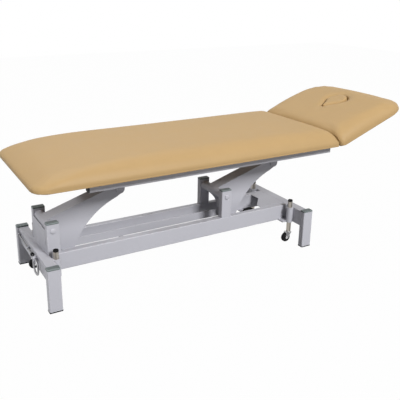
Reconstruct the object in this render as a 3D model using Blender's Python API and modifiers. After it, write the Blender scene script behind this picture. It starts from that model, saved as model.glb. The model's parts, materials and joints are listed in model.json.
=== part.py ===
"""Height-adjustable examination couch with a hinged head section.

Units are metres and +Z is up. +X points to the head end. Left and right are those of someone
lying on their back, so left is -Y. The origin is on the floor, under the middle of the couch.
"""
import math

import bmesh
import bpy
from mathutils import Matrix, Vector

COUCH = "examination_couch"

# Gaps between pieces that touch, and between a pin and its bore.
SEAT_GAP = 0.0003
BORE_GAP = 0.0003

# Steel tube of the frame.
TUBE_WALL = 0.0025
TUBE_RADIUS = 0.003
CAP_HEIGHT = 0.008
CAP_RADIUS = 0.0025

# Base: four legs, two crossbeams and two side rails.
BASE_LENGTH = 1.481
BASE_WIDTH = 0.563
LEG_LENGTH = 0.060
LEG_WIDTH = 0.034
RAIL_BOTTOM = 0.120
RAIL_HEIGHT = 0.085
RAIL_WIDTH = 0.033
RAIL_SPREAD = 0.2574
BEAM_WIDTH = 0.047
BEAM_INSET = 0.0095
BEAM_LIP_HEIGHT = 0.018
BEAM_LIP_DEPTH = 0.006

# Posts that carry the lifting arms.
POST_LENGTH = 0.0595
POST_HEIGHT = 0.146
POST_PLATE_HEIGHT = 0.114
POST_PLATE_THICKNESS = 0.003
PIVOT_ABOVE_RAIL = 0.1145
FOOT_PIVOT_FROM_END = 0.07925
HEAD_PIVOT_FROM_END = 0.46775
AXLE_RADIUS = 0.010
AXLE_HEAD_RADIUS = 0.0135
AXLE_HEAD_HEIGHT = 0.006

# Lifting arms: a hub tube, a channel up to the top frame and a lever down to the tie bars.
ARM_LENGTH = 0.382
ARM_REST_ANGLE = math.radians(17.5)
ARM_WIDTH = 0.080
ARM_PLATE = 0.005
ARM_CHANNEL_SHIFT = 0.008
HUB_RADIUS = 0.024
TIP_RADIUS = 0.026
TIP_BORE_RADIUS = 0.009
LEVER_PIN = (0.072, -0.165)
LEVER_END = (0.083, -0.195)
LEVER_END_RADIUS = 0.020
LEVER_PIN_RADIUS = 0.008
LEVER_SLOT_TOP = -0.125
FRONT_TOP_FROM_TIP = (-0.019, -0.040)
FRONT_FOOT_FROM_LEVER = (0.041, 0.053)
FRONT_BOW = 0.0325
BACK_FOOT_FROM_LEVER = (-0.031, 0.045)
BACK_BOW = 0.020
HUB_BACK_ANGLE = math.radians(225)

# Tie bars beside the levers.
TIE_GAP = 0.003
TIE_THICKNESS = 0.008
TIE_BELOW_PIN = 0.014
TIE_ABOVE_PIN = 0.0275

# Linear actuator between the rails, and the bar that its tail is pinned to.
ACTUATOR_LENGTH = 0.57075
ACTUATOR_TUBE_RADIUS = 0.018
ACTUATOR_TUBE_END = 0.405
ACTUATOR_ROD_RADIUS = 0.010
ACTUATOR_ROD_LENGTH = 0.316
ACTUATOR_EYE_RADIUS = 0.014
ACTUATOR_EYE_WIDTH = 0.018
ACTUATOR_TAIL_WIDTH = 0.040
ACTUATOR_PIN_RADIUS = 0.006
ROD_PIN_RADIUS = 0.0075
ROD_PIN_LENGTH = 0.060
GEARBOX_START = 0.022
GEARBOX_LENGTH = 0.068
GEARBOX_WIDTH = 0.060
GEARBOX_BELOW = 0.056
GEARBOX_ABOVE = 0.021
MOTOR_RADIUS = 0.025
MOTOR_LENGTH = 0.130
MOTOR_BELOW_AXIS = 0.034
MOUNT_BAR_LENGTH = 0.040
MOUNT_BAR_HEIGHT = 0.018
MOUNT_BAR_DROP = 0.0145
MOUNT_EAR = 0.006

# Control box on a strap, and the deck plate at the head end.
BOX_LENGTH = 0.052
BOX_WIDTH = 0.070
BOX_HEIGHT = 0.031
BOX_FROM_END = 0.2165
STRAP_LENGTH = 0.040
STRAP_THICKNESS = 0.006
DECK_THICKNESS = 0.003
DECK_LENGTH = 0.159
DECK_NOTCH = 0.070
DECK_SLANT_FROM = -0.059
DECK_SLANT_TO = 0.025

# Casters that drop below the feet.
CASTER_FROM_BEAM = 0.016
CASTER_FROM_SIDE = 0.1075
SLEEVE_RADIUS = 0.019
SLEEVE_PROUD = 0.001
STEM_RADIUS = 0.0125
STEM_TOP = 0.250
STEM_BOTTOM = 0.064
STEM_BORE_RADIUS = 0.009
STEM_FLOOR = 0.012
STEM_SPIGOT_RADIUS = 0.005
STEM_SPIGOT_LENGTH = 0.006
FOOT_GUSSET_LENGTH = 0.036
HEAD_GUSSET_LENGTH = 0.062
GUSSET_THICKNESS = 0.006
GUSSET_LIFT = 0.001
WHEEL_RADIUS = 0.0265
WHEEL_WIDTH = 0.019
WHEEL_LIFT = 0.002
WHEEL_TRAIL = 0.018
WHEEL_AXLE_RADIUS = 0.004
FORK_CHEEK = 0.003
FORK_CHEEK_GAP = 0.001
FORK_CLEARANCE = 0.0015
FORK_HUB_RADIUS = 0.012
FORK_BRIDGE = 0.004

# Pedal that lowers the casters: a rod loop hung on the foot crossbeam.
PEDAL_ROD_RADIUS = 0.005
PEDAL_WIDTH = 0.078
PEDAL_DROP = 0.076
PEDAL_CORNER = 0.030
PEDAL_CENTRE_Y = -0.076
PEDAL_BELOW_TOP = 0.027
PEDAL_OUT = 0.013
PEDAL_LUG = 0.005
PEDAL_LUG_INSET = 0.034

# Top frame.
TOP_FRAME_FOOT_X = -0.535
TOP_FRAME_FROM_PAD_END = 0.018
TOP_FRAME_MARGIN = 0.0665
TOP_RAIL_WIDTH = 0.040
TOP_RAIL_BOTTOM = 0.530
TOP_RAIL_HEIGHT = 0.0357
CROSSBAR_WIDTH = 0.040
CROSSBAR_HEIGHT = 0.030
LUG_THICKNESS = 0.008
LUG_GAP = 0.0023
LUG_RADIUS = 0.022
LUG_TOP_LENGTH = 0.060
PIN_HEAD_RADIUS = 0.011
PIN_HEAD_HEIGHT = 0.0015

# Main pad: a plywood board and an upholstered cushion.
PAD_WIDTH = 0.696
MAIN_PAD_FOOT_X = -0.7885
MAIN_PAD_LENGTH = 1.6315
MAIN_PAD_THICKNESS = 0.088
BOARD_THICKNESS = 0.012
BOARD_MARGIN = 0.035
FOOT_CORNER = 0.070
JOINT_CORNER = 0.018

# Head section, measured from its hinge and laid flat, then tilted.
HEAD_TILT = math.radians(20.6)
HINGE_FROM_FRAME = 0.013
HINGE_BELOW_BOARD = 0.0037
HINGE_PIN_RADIUS = 0.005
HINGE_BARREL_RADIUS = 0.012
HINGE_EAR = 0.008
HINGE_EAR_GAP = 0.0023
HEAD_PAD_START = 0.013
HEAD_PAD_LENGTH = 0.499
HEAD_PAD_THICKNESS = 0.080
HEAD_BOARD_THICKNESS = 0.010
HEAD_BOARD_MARGIN = 0.030
HEAD_CORNER = 0.110
HEAD_BAR_WIDTH = 0.030
HEAD_BAR_HEIGHT = 0.0247
HEAD_BAR_START = 0.012
HEAD_BAR_LENGTH = 0.348
HEAD_BAR_MARGIN = 0.178

# Nose hole and its plug: a teardrop with its point towards the foot end.
NOSE_POINT = 0.214
NOSE_CENTRE = 0.325
NOSE_RADIUS = 0.062
NOSE_TIP_RADIUS = 0.006
NOSE_GAP = 0.0006
NOSE_LEDGE = 0.008

# Edges of a cushion: drawn in below its widest line, and rolled over above it up to the crown.
# The ends are drawn in by a share of what the sides are, and the main pad's end at the hinge also
# leans back, to clear the tilted head section.
PAD_UNDERCUT = 0.003
PAD_WAIST = 0.010
PAD_ROLL = 0.088
PAD_ROLL_TOP_SHARE = 0.965
PAD_CROWN_INSET = 0.145
FOOT_END_SHARE = 5.5
HEAD_END_SHARE = 2.2
HINGE_END_SHARE = 0.12
HINGE_END_LEAN = 0.30
ROLL_STEPS = 6
CORNER_STEPS = 6
ROUND_STEPS = 16
FINE_STEPS = 24
ARC_STEPS = 8

# Finishes: colour, roughness and metallic value.
FINISHES = {
    "powder_coat": ((0.50, 0.50, 0.545), 0.45, 0.0),
    "cap_plastic": ((0.155, 0.180, 0.180), 0.55, 0.0),
    "vinyl": ((0.560, 0.395, 0.205), 0.50, 0.0),
    "plywood": ((0.42, 0.29, 0.17), 0.70, 0.0),
    "zinc_steel": ((0.55, 0.53, 0.50), 0.35, 1.0),
    "black_rubber": ((0.015, 0.015, 0.016), 0.65, 0.0),
    "fork_steel": ((0.62, 0.62, 0.62), 0.30, 1.0),
    "dark_plastic": ((0.045, 0.047, 0.050), 0.50, 0.0),
}

# Places worked out from the sizes above.
RAIL_TOP = RAIL_BOTTOM + RAIL_HEIGHT
RAIL_OUTER = RAIL_SPREAD / 2
RAIL_INNER = RAIL_OUTER - RAIL_WIDTH
BEAM_OUTER = BASE_LENGTH / 2 - BEAM_INSET
BEAM_INNER = BEAM_OUTER - BEAM_WIDTH
POST_TOP = RAIL_TOP + SEAT_GAP + POST_HEIGHT
PIVOT_Z = RAIL_TOP + PIVOT_ABOVE_RAIL
FOOT_PIVOT_X = -BASE_LENGTH / 2 + FOOT_PIVOT_FROM_END
HEAD_PIVOT_X = BASE_LENGTH / 2 - HEAD_PIVOT_FROM_END
PIVOT_SPACING = HEAD_PIVOT_X - FOOT_PIVOT_X
ARM_TIP = (ARM_LENGTH * math.cos(ARM_REST_ANGLE), ARM_LENGTH * math.sin(ARM_REST_ANGLE))
TOP_PIVOT_Z = PIVOT_Z + ARM_TIP[1]
TOP_FRAME_WIDTH = PAD_WIDTH - 2 * TOP_FRAME_MARGIN
TOP_FRAME_HEAD_X = MAIN_PAD_FOOT_X + MAIN_PAD_LENGTH - TOP_FRAME_FROM_PAD_END
HEAD_BAR_SPREAD = PAD_WIDTH - 2 * HEAD_BAR_MARGIN
TOP_RAIL_TOP = TOP_RAIL_BOTTOM + TOP_RAIL_HEIGHT
CROSSBAR_REACH = TOP_FRAME_WIDTH / 2 - TOP_RAIL_WIDTH - SEAT_GAP
BOARD_BOTTOM = TOP_RAIL_TOP + SEAT_GAP
HINGE_X = TOP_FRAME_HEAD_X + HINGE_FROM_FRAME
HINGE_Z = BOARD_BOTTOM - HINGE_BELOW_BOARD
CASTER_X = BEAM_INNER - CASTER_FROM_BEAM
CASTER_Y = BASE_WIDTH / 2 - CASTER_FROM_SIDE
WHEEL_Z = WHEEL_RADIUS + WHEEL_LIFT
TIE_INNER = ARM_WIDTH / 2 + TIE_GAP
TIE_OUTER = TIE_INNER + TIE_THICKNESS
ACTUATOR_Z = PIVOT_Z + LEVER_END[1]
ACTUATOR_TAIL_X = HEAD_PIVOT_X + LEVER_END[0] - ACTUATOR_LENGTH
SIDES = (("left", -1), ("right", 1))
ENDS = (("foot", -1), ("head", 1))


def clear_scene():
    """Remove whatever the file holds."""
    for obj in list(bpy.data.objects):
        bpy.data.objects.remove(obj, do_unlink=True)


def new_collection(name):
    """Make a collection in the scene."""
    group = bpy.data.collections.new(name)
    bpy.context.scene.collection.children.link(group)
    return group


def new_finishes():
    """Make one material for each finish."""
    made = {}
    for name, (colour, roughness, metallic) in FINISHES.items():
        material = bpy.data.materials.new(name)
        material.use_nodes = True
        shader = material.node_tree.nodes["Principled BSDF"]
        shader.inputs["Base Color"].default_value = (*colour, 1.0)
        shader.inputs["Roughness"].default_value = roughness
        shader.inputs["Metallic"].default_value = metallic
        made[name] = material
    return made


clear_scene()
PARTS = new_collection(COUCH)
CUTTERS = new_collection(COUCH + "_cutters")
MATERIALS = new_finishes()


def axis(name, parent, place, rotation=(0.0, 0.0, 0.0)):
    """An empty on a joint's axis, or at the middle of a fixed group of pieces."""
    empty = bpy.data.objects.new(name, None)
    empty.empty_display_size = 0.05
    empty.parent = parent
    empty.location = place
    empty.rotation_euler = rotation
    PARTS.objects.link(empty)
    return empty


def add(name, mesh, parent, finish=None):
    """Link a mesh as a piece of the couch, or as a cutter if it has no finish."""
    obj = bpy.data.objects.new(name, mesh)
    obj.parent = parent
    if finish is None:
        obj.hide_render = True
        obj.display_type = "WIRE"
        CUTTERS.objects.link(obj)
        return obj
    mesh.materials.append(MATERIALS[finish])
    PARTS.objects.link(obj)
    return obj


def boolean(obj, tool, operation):
    """Cut a tool out of a piece, or join it to the piece."""
    modifier = obj.modifiers.new(tool.name, "BOOLEAN")
    modifier.operation = operation
    modifier.object = tool
    modifier.solver = "EXACT"


def cut(obj, tool):
    """Take a cutter's shape out of a piece."""
    boolean(obj, tool, "DIFFERENCE")


def join(obj, tool):
    """Weld a second shape to a piece."""
    boolean(obj, tool, "UNION")


def smooth(mesh, angle=40.0):
    """Shade a round mesh smooth, with its corners kept sharp."""
    mesh.shade_smooth()
    mesh.set_sharp_from_angle(angle=math.radians(angle))


def mesh_from(bm, name):
    """Turn a bmesh into a mesh with its faces pointing out."""
    bmesh.ops.recalc_face_normals(bm, faces=bm.faces[:])
    mesh = bpy.data.meshes.new(name)
    bm.to_mesh(mesh)
    bm.free()
    return mesh


def box_bmesh(low, high):
    """A bmesh box between two corners."""
    bm = bmesh.new()
    bmesh.ops.create_cube(bm, size=1.0)
    size = Vector(high) - Vector(low)
    middle = (Vector(high) + Vector(low)) / 2
    bmesh.ops.scale(bm, vec=size, verts=bm.verts[:])
    bmesh.ops.translate(bm, vec=middle, verts=bm.verts[:])
    return bm


def round_edges(bm, edges, radius, segments):
    """Round some edges of a bmesh."""
    bmesh.ops.bevel(
        bm, geom=edges, offset=radius, segments=segments, profile=0.5, affect="EDGES", clamp_overlap=True
    )


def box(name, low, high, radius=0.0):
    """A solid box, with every edge broken if a radius is given."""
    bm = box_bmesh(low, high)
    if radius:
        round_edges(bm, bm.edges[:], radius, 1)
    return mesh_from(bm, name)


def tube(name, low, high, along, wall=TUBE_WALL, radius=TUBE_RADIUS):
    """A box tube between two corners, open at both ends of the axis 0, 1 or 2."""
    bm = box_bmesh(low, high)
    long_edges = [e for e in bm.edges if abs((e.verts[0].co - e.verts[1].co).normalized()[along]) > 0.9]
    round_edges(bm, long_edges, radius, 2)
    ends = [f for f in bm.faces if abs(f.normal[along]) > 0.9]
    bmesh.ops.inset_individual(bm, faces=ends, thickness=wall, use_even_offset=True)
    rims = [e for f in ends for e in f.edges]
    bmesh.ops.delete(bm, geom=ends, context="FACES_ONLY")
    bmesh.ops.bridge_loops(bm, edges=rims)
    return mesh_from(bm, name)


def turn_to(along):
    """The matrix that turns +Z to the axis 0, 1 or 2."""
    if along == 0:
        return Matrix.Rotation(math.radians(90), 4, "Y")
    if along == 1:
        return Matrix.Rotation(math.radians(-90), 4, "X")
    return Matrix.Identity(4)


def rod(name, centre, radius, length, along, steps=ROUND_STEPS):
    """A plain cylinder about an axis."""
    bm = bmesh.new()
    bmesh.ops.create_cone(
        bm, cap_ends=True, segments=steps, radius1=radius, radius2=radius, depth=length,
        matrix=Matrix.Translation(centre) @ turn_to(along),
    )
    mesh = mesh_from(bm, name)
    smooth(mesh)
    return mesh


def turned(name, profile, parent, finish, place=(0, 0, 0), along=2, steps=ROUND_STEPS, closed=False):
    """A turned piece: a profile of radius and height, from the top down, under a Screw modifier."""
    mesh = bpy.data.meshes.new(name)
    edges = [(i, i + 1) for i in range(len(profile) - 1)]
    if closed:
        edges.append((len(profile) - 1, 0))
    mesh.from_pydata([(radius, 0.0, height) for radius, height in profile], edges, [])
    obj = add(name, mesh, parent, finish)
    obj.location = place
    obj.rotation_euler = turn_to(along).to_euler()
    screw = obj.modifiers.new("turn", "SCREW")
    screw.axis = "Z"
    screw.angle = math.tau
    screw.steps = steps
    screw.render_steps = steps
    screw.use_merge_vertices = True
    screw.merge_threshold = 0.00001
    screw.use_smooth_shade = True
    return obj


def arc(centre, radius, start, end, steps=ARC_STEPS):
    """Points of an arc from one angle to another."""
    points = []
    for i in range(steps + 1):
        angle = start + (end - start) * i / steps
        points.append((centre[0] + radius * math.cos(angle), centre[1] + radius * math.sin(angle)))
    return points


def bow(start, end, rise, steps=ARC_STEPS):
    """Points of a bowed line that rises to the left of its way at its middle."""
    way = Vector(end) - Vector(start)
    left = Vector((-way.y, way.x)).normalized()
    points = []
    for i in range(steps + 1):
        share = i / steps
        points.append(tuple(Vector(start) + way * share + left * rise * 4 * share * (1 - share)))
    return points


def slab(name, outline, thickness, matrix):
    """A flat outline given a thickness about its own plane, then put in place."""
    curve = bpy.data.curves.new(name, "CURVE")
    curve.dimensions = "2D"
    curve.fill_mode = "BOTH"
    curve.extrude = thickness / 2
    spline = curve.splines.new("POLY")
    spline.points.add(len(outline) - 1)
    for point, (x, y) in zip(spline.points, outline):
        point.co = (x, y, 0.0, 1.0)
    spline.use_cyclic_u = True
    return curve_mesh(curve, name, matrix)


def curve_mesh(curve, name, matrix):
    """A curve made a mesh, with its caps welded."""
    holder = bpy.data.objects.new(name + "_curve", curve)
    CUTTERS.objects.link(holder)
    evaluated = holder.evaluated_get(bpy.context.evaluated_depsgraph_get())
    mesh = bpy.data.meshes.new_from_object(evaluated)
    bpy.data.objects.remove(holder)
    bm = bmesh.new()
    bm.from_mesh(mesh)
    bmesh.ops.remove_doubles(bm, verts=bm.verts[:], dist=0.00001)
    bmesh.ops.transform(bm, matrix=matrix, verts=bm.verts[:])
    bmesh.ops.recalc_face_normals(bm, faces=bm.faces[:])
    bm.to_mesh(mesh)
    bm.free()
    mesh.name = name
    return mesh


def upright(y):
    """The matrix that stands an outline up, its second coordinate along Z, at this Y."""
    return Matrix.Translation((0, y, 0)) @ Matrix.Rotation(math.radians(90), 4, "X")


def level(z):
    """The matrix that lays an outline flat at this height."""
    return Matrix.Translation((0, 0, z))


def base_tubes(couch):
    """Legs with their caps, and the two side rails."""
    for end, x_sign in ENDS:
        for side, y_sign in SIDES:
            x = sorted((x_sign * BASE_LENGTH / 2, x_sign * (BASE_LENGTH / 2 - LEG_LENGTH)))
            y = sorted((y_sign * BASE_WIDTH / 2, y_sign * (BASE_WIDTH / 2 - LEG_WIDTH)))
            name = f"leg_{end}_{side}"
            add(name, tube(name, (x[0], y[0], 0.0), (x[1], y[1], RAIL_TOP), 2), couch, "powder_coat")
            capped(f"leg_cap_{end}_{side}", x, y, RAIL_TOP, couch)
    for side, y_sign in SIDES:
        y = sorted((y_sign * RAIL_INNER, y_sign * RAIL_OUTER))
        reach = BEAM_INNER - SEAT_GAP
        name = f"base_rail_{side}"
        mesh = tube(name, (-reach, y[0], RAIL_BOTTOM), (reach, y[1], RAIL_TOP), 0)
        add(name, mesh, couch, "powder_coat")


def capped(name, x, y, z, couch):
    """A plastic cap that closes the top of a tube."""
    low = (x[0], y[0], z + SEAT_GAP)
    add(name, box(name, low, (x[1], y[1], z + CAP_HEIGHT), CAP_RADIUS), couch, "cap_plastic")


def beam_outline(x_sign):
    """The crossbeam's section: a lip along the top of its outer face."""
    lower = BEAM_OUTER - BEAM_LIP_DEPTH
    lip = RAIL_TOP - BEAM_LIP_HEIGHT
    points = [
        (BEAM_INNER, RAIL_BOTTOM), (lower, RAIL_BOTTOM), (lower, lip),
        (BEAM_OUTER, lip), (BEAM_OUTER, RAIL_TOP), (BEAM_INNER, RAIL_TOP),
    ]
    return [(x_sign * x, z) for x, z in points]


def crossbeam(end, x_sign, gusset_length, couch):
    """A crossbeam with its two caster sleeves and their gussets."""
    name = f"{end}_crossbeam"
    reach = BASE_WIDTH / 2 - LEG_WIDTH - SEAT_GAP
    beam = add(name, slab(name, beam_outline(x_sign), 2 * reach, upright(0.0)), couch, "powder_coat")
    hollow_x = sorted((
        x_sign * (BEAM_INNER + TUBE_WALL), x_sign * (BEAM_OUTER - BEAM_LIP_DEPTH - TUBE_WALL)
    ))
    low = (hollow_x[0], -reach - TUBE_WALL, RAIL_BOTTOM + TUBE_WALL)
    high = (hollow_x[1], reach + TUBE_WALL, RAIL_TOP - TUBE_WALL)
    cut(beam, add(name + "_hollow", box(name + "_hollow", low, high), couch))
    for side, y_sign in SIDES:
        x = x_sign * CASTER_X
        y = y_sign * CASTER_Y
        middle = (x, y, RAIL_BOTTOM + RAIL_HEIGHT / 2)
        sleeve = rod("sleeve", middle, SLEEVE_RADIUS, RAIL_HEIGHT + 2 * SLEEVE_PROUD, 2, FINE_STEPS)
        join(beam, add(f"{name}_sleeve_{side}", sleeve, couch))
        gusset_x = sorted((x_sign * (BEAM_INNER + TUBE_WALL / 2), x_sign * (BEAM_INNER - gusset_length)))
        gusset_y = sorted((y_sign * (RAIL_OUTER + SEAT_GAP), y))
        gusset_z = RAIL_BOTTOM + GUSSET_LIFT
        gusset_low = (gusset_x[0], gusset_y[0], gusset_z)
        gusset_high = (gusset_x[1], gusset_y[1], gusset_z + GUSSET_THICKNESS)
        join(beam, add(f"{name}_gusset_{side}", box("gusset", gusset_low, gusset_high), couch))
        bore = rod("bore", middle, STEM_RADIUS + BORE_GAP, 2 * RAIL_HEIGHT, 2)
        cut(beam, add(f"{name}_bore_{side}", bore, couch))
    return beam


def post_plate(beam, couch):
    """A plate on the foot crossbeam that closes the space between the foot posts."""
    outer = FOOT_PIVOT_X - POST_LENGTH / 2
    edge = RAIL_INNER - SEAT_GAP
    low = (outer, -edge, RAIL_TOP - TUBE_WALL / 2)
    high = (outer + POST_PLATE_THICKNESS, edge, RAIL_TOP + POST_PLATE_HEIGHT)
    join(beam, add("post_plate", box("post_plate", low, high), couch))


def pedal_lugs(beam, couch):
    """Two lugs on the foot crossbeam that the pedal's top bar turns in."""
    face = -(BEAM_OUTER - BEAM_LIP_DEPTH)
    pivot = pedal_place()
    for side, y_sign in SIDES:
        y = pivot[1] + y_sign * (PEDAL_WIDTH / 2 - PEDAL_LUG_INSET)
        low = (pivot[0] - 2 * PEDAL_ROD_RADIUS, y - PEDAL_LUG / 2, pivot[2] - 2 * PEDAL_ROD_RADIUS)
        high = (face + TUBE_WALL / 2, y + PEDAL_LUG / 2, pivot[2] + 2 * PEDAL_ROD_RADIUS)
        join(beam, add(f"pedal_lug_{side}", box("pedal_lug", low, high), couch))
    bore = rod("pedal_bore", pivot, PEDAL_ROD_RADIUS + BORE_GAP, PEDAL_WIDTH, 1)
    cut(beam, add("pedal_bore", bore, couch))


def pedal_place():
    """The middle of the pedal's top bar, which is its axis."""
    return (-(BEAM_OUTER - BEAM_LIP_DEPTH) - PEDAL_OUT, PEDAL_CENTRE_Y, RAIL_TOP - PEDAL_BELOW_TOP)


def pedal(couch):
    """A closed loop of round rod, hung by its top bar."""
    hinge = axis("pedal_axis", couch, pedal_place())
    half = PEDAL_WIDTH / 2 - PEDAL_CORNER
    low = -PEDAL_DROP + PEDAL_CORNER
    corners = ((half, -PEDAL_CORNER, 0), (-half, -PEDAL_CORNER, 90), (-half, low, 180), (half, low, 270))
    curve = bpy.data.curves.new("caster_pedal", "CURVE")
    curve.dimensions = "3D"
    curve.bevel_depth = PEDAL_ROD_RADIUS
    curve.bevel_resolution = 2
    spline = curve.splines.new("POLY")
    points = []
    for y, z, start in corners:
        points += arc((y, z), PEDAL_CORNER, math.radians(start), math.radians(start + 90), 4)
    spline.points.add(len(points) - 1)
    for point, (y, z) in zip(spline.points, points):
        point.co = (0.0, y, z, 1.0)
    spline.use_cyclic_u = True
    add("caster_pedal", curve_mesh(curve, "caster_pedal", Matrix.Identity(4)), hinge, "zinc_steel")


def posts(couch):
    """Four posts on the rails, with their caps and the two arm axles."""
    for end, pivot_x in (("foot", FOOT_PIVOT_X), ("head", HEAD_PIVOT_X)):
        x = (pivot_x - POST_LENGTH / 2, pivot_x + POST_LENGTH / 2)
        for side, y_sign in SIDES:
            y = sorted((y_sign * RAIL_INNER, y_sign * RAIL_OUTER))
            name = f"post_{end}_{side}"
            low = (x[0], y[0], RAIL_TOP + SEAT_GAP)
            post = add(name, tube(name, low, (x[1], y[1], POST_TOP), 2), couch, "powder_coat")
            hole = rod("axle_hole", (pivot_x, 0, PIVOT_Z), AXLE_RADIUS + BORE_GAP, 2 * RAIL_SPREAD, 1)
            cut(post, add(f"{name}_hole", hole, couch))
            capped(f"post_cap_{end}_{side}", x, y, POST_TOP, couch)
        axle(f"{end}_arm_axle", pivot_x, couch)


def axle(name, pivot_x, couch):
    """A through bolt with a domed head and nut outside the posts."""
    seat = RAIL_OUTER + SEAT_GAP
    top = seat + AXLE_HEAD_HEIGHT
    shoulder = seat + AXLE_HEAD_HEIGHT / 2
    dome = AXLE_HEAD_RADIUS * 0.7
    head = AXLE_HEAD_RADIUS
    half = [(0.0, top), (dome, top), (head, shoulder), (head, seat), (AXLE_RADIUS, seat)]
    profile = half + [(radius, -height) for radius, height in reversed(half)]
    turned(name, profile, couch, "powder_coat", (pivot_x, 0, PIVOT_Z), 1)


def deck_plate(couch):
    """A plate between the rails at the head end, with a slanted notch."""
    head = BEAM_INNER - SEAT_GAP
    foot = head - DECK_LENGTH
    edge = RAIL_INNER - SEAT_GAP
    outline = [
        (head, -edge), (head, edge), (foot + DECK_NOTCH, edge), (foot + DECK_NOTCH, DECK_SLANT_TO),
        (foot, DECK_SLANT_FROM), (foot, -edge),
    ]
    mesh = slab("head_deck_plate", outline, DECK_THICKNESS, level(RAIL_TOP - DECK_THICKNESS / 2))
    add("head_deck_plate", mesh, couch, "powder_coat")


def control_box(couch):
    """The actuator's control box on a strap between the rails."""
    x = BASE_LENGTH / 2 - BOX_FROM_END
    edge = RAIL_INNER - SEAT_GAP
    strap_top = RAIL_BOTTOM + STRAP_THICKNESS
    low = (x - STRAP_LENGTH / 2, -edge, RAIL_BOTTOM)
    strap = box("control_box_strap", low, (x + STRAP_LENGTH / 2, edge, strap_top))
    add("control_box_strap", strap, couch, "powder_coat")
    low = (x - BOX_LENGTH / 2, -BOX_WIDTH / 2, strap_top + SEAT_GAP)
    high = (x + BOX_LENGTH / 2, BOX_WIDTH / 2, strap_top + BOX_HEIGHT)
    add("control_box", box("control_box", low, high, CAP_RADIUS), couch, "dark_plastic")


def arm_outline():
    """The side of a lifting arm about its hub: channel, tip and lever."""
    square = ARM_REST_ANGLE + math.pi / 2
    front_top = (ARM_TIP[0] + FRONT_TOP_FROM_TIP[0], ARM_TIP[1] + FRONT_TOP_FROM_TIP[1])
    front_foot = (LEVER_END[0] + FRONT_FOOT_FROM_LEVER[0], LEVER_END[1] + FRONT_FOOT_FROM_LEVER[1])
    back_foot = (LEVER_END[0] + BACK_FOOT_FROM_LEVER[0], LEVER_END[1] + BACK_FOOT_FROM_LEVER[1])
    hub = arc((0.0, 0.0), HUB_RADIUS, HUB_BACK_ANGLE, square)
    tip = arc(ARM_TIP, TIP_RADIUS, square, math.radians(-50), 12)
    front = bow(front_top, front_foot, -FRONT_BOW, 12)
    lever = arc(LEVER_END, LEVER_END_RADIUS, math.radians(-27), math.radians(-166))
    back = bow(back_foot, hub[0], -BACK_BOW)
    return hub + tip + front + lever + back[:-1]


def arm(name, pivot_x, couch):
    """A lifting arm: a bent channel on a hub tube, with a lever fork below."""
    hub_axis = axis(f"{name}_axis", couch, (pivot_x, 0, PIVOT_Z))
    outline = arm_outline()
    half = ARM_WIDTH / 2
    obj = add(name, slab(name, outline, ARM_WIDTH, upright(0.0)), hub_axis, "powder_coat")
    shift = ARM_CHANNEL_SHIFT * math.sqrt(0.5)
    channel = [(x + shift, z - shift) for x, z in outline]
    inside = ARM_WIDTH - 2 * ARM_PLATE
    cut(obj, add(name + "_channel", slab("channel", channel, inside, upright(0.0)), hub_axis))
    low = (-HUB_RADIUS, -inside / 2, 2 * LEVER_END[1])
    high = (LEVER_END[0] + LEVER_END_RADIUS, inside / 2, LEVER_SLOT_TOP)
    cut(obj, add(name + "_slot", box("slot", low, high), hub_axis))
    hub_length = 2 * (RAIL_INNER - SEAT_GAP)
    join(obj, add(name + "_hub", rod("hub", (0, 0, 0), HUB_RADIUS, hub_length, 1, FINE_STEPS), hub_axis))
    tip = (ARM_TIP[0], 0.0, ARM_TIP[1])
    tip_length = ARM_WIDTH - ARM_PLATE
    tip_tube = rod("tip", tip, TIP_RADIUS - ARM_PLATE, tip_length, 1)
    join(obj, add(name + "_tip", tip_tube, hub_axis))
    bore_length = 2 * RAIL_SPREAD
    cut(obj, add(name + "_bore", rod("bore", (0, 0, 0), AXLE_RADIUS + BORE_GAP, bore_length, 1), hub_axis))
    tip_bore = rod("tip_bore", tip, TIP_BORE_RADIUS + BORE_GAP, bore_length, 1)
    cut(obj, add(name + "_tip_bore", tip_bore, hub_axis))
    stub_start = half - ARM_PLATE / 2
    stub_length = TIE_OUTER - stub_start
    for side, y_sign in SIDES:
        middle = (LEVER_PIN[0], y_sign * (stub_start + stub_length / 2), LEVER_PIN[1])
        stub = rod("stub", middle, LEVER_PIN_RADIUS, stub_length, 1)
        join(obj, add(f"{name}_stub_{side}", stub, hub_axis))


def tie_bars(couch):
    """Flat bars that tie the two levers together, one on each side."""
    pin_z = PIVOT_Z + LEVER_PIN[1]
    hinge = axis("tie_bar_axis", couch, (FOOT_PIVOT_X + LEVER_PIN[0], 0, pin_z))
    for side, y_sign in SIDES:
        y = sorted((y_sign * TIE_INNER, y_sign * TIE_OUTER))
        low = (-TIE_BELOW_PIN, y[0], -TIE_BELOW_PIN)
        high = (PIVOT_SPACING + TIE_BELOW_PIN, y[1], TIE_ABOVE_PIN)
        name = f"tie_bar_{side}"
        bar = add(name, box(name, low, high, TUBE_WALL / 2), hinge, "powder_coat")
        for x in (0.0, PIVOT_SPACING):
            hole = rod("tie_hole", (x, 0, 0), LEVER_PIN_RADIUS + BORE_GAP, 4 * TIE_OUTER, 1)
            cut(bar, add(f"{name}_hole_{'foot' if x == 0.0 else 'head'}", hole, hinge))


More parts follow.
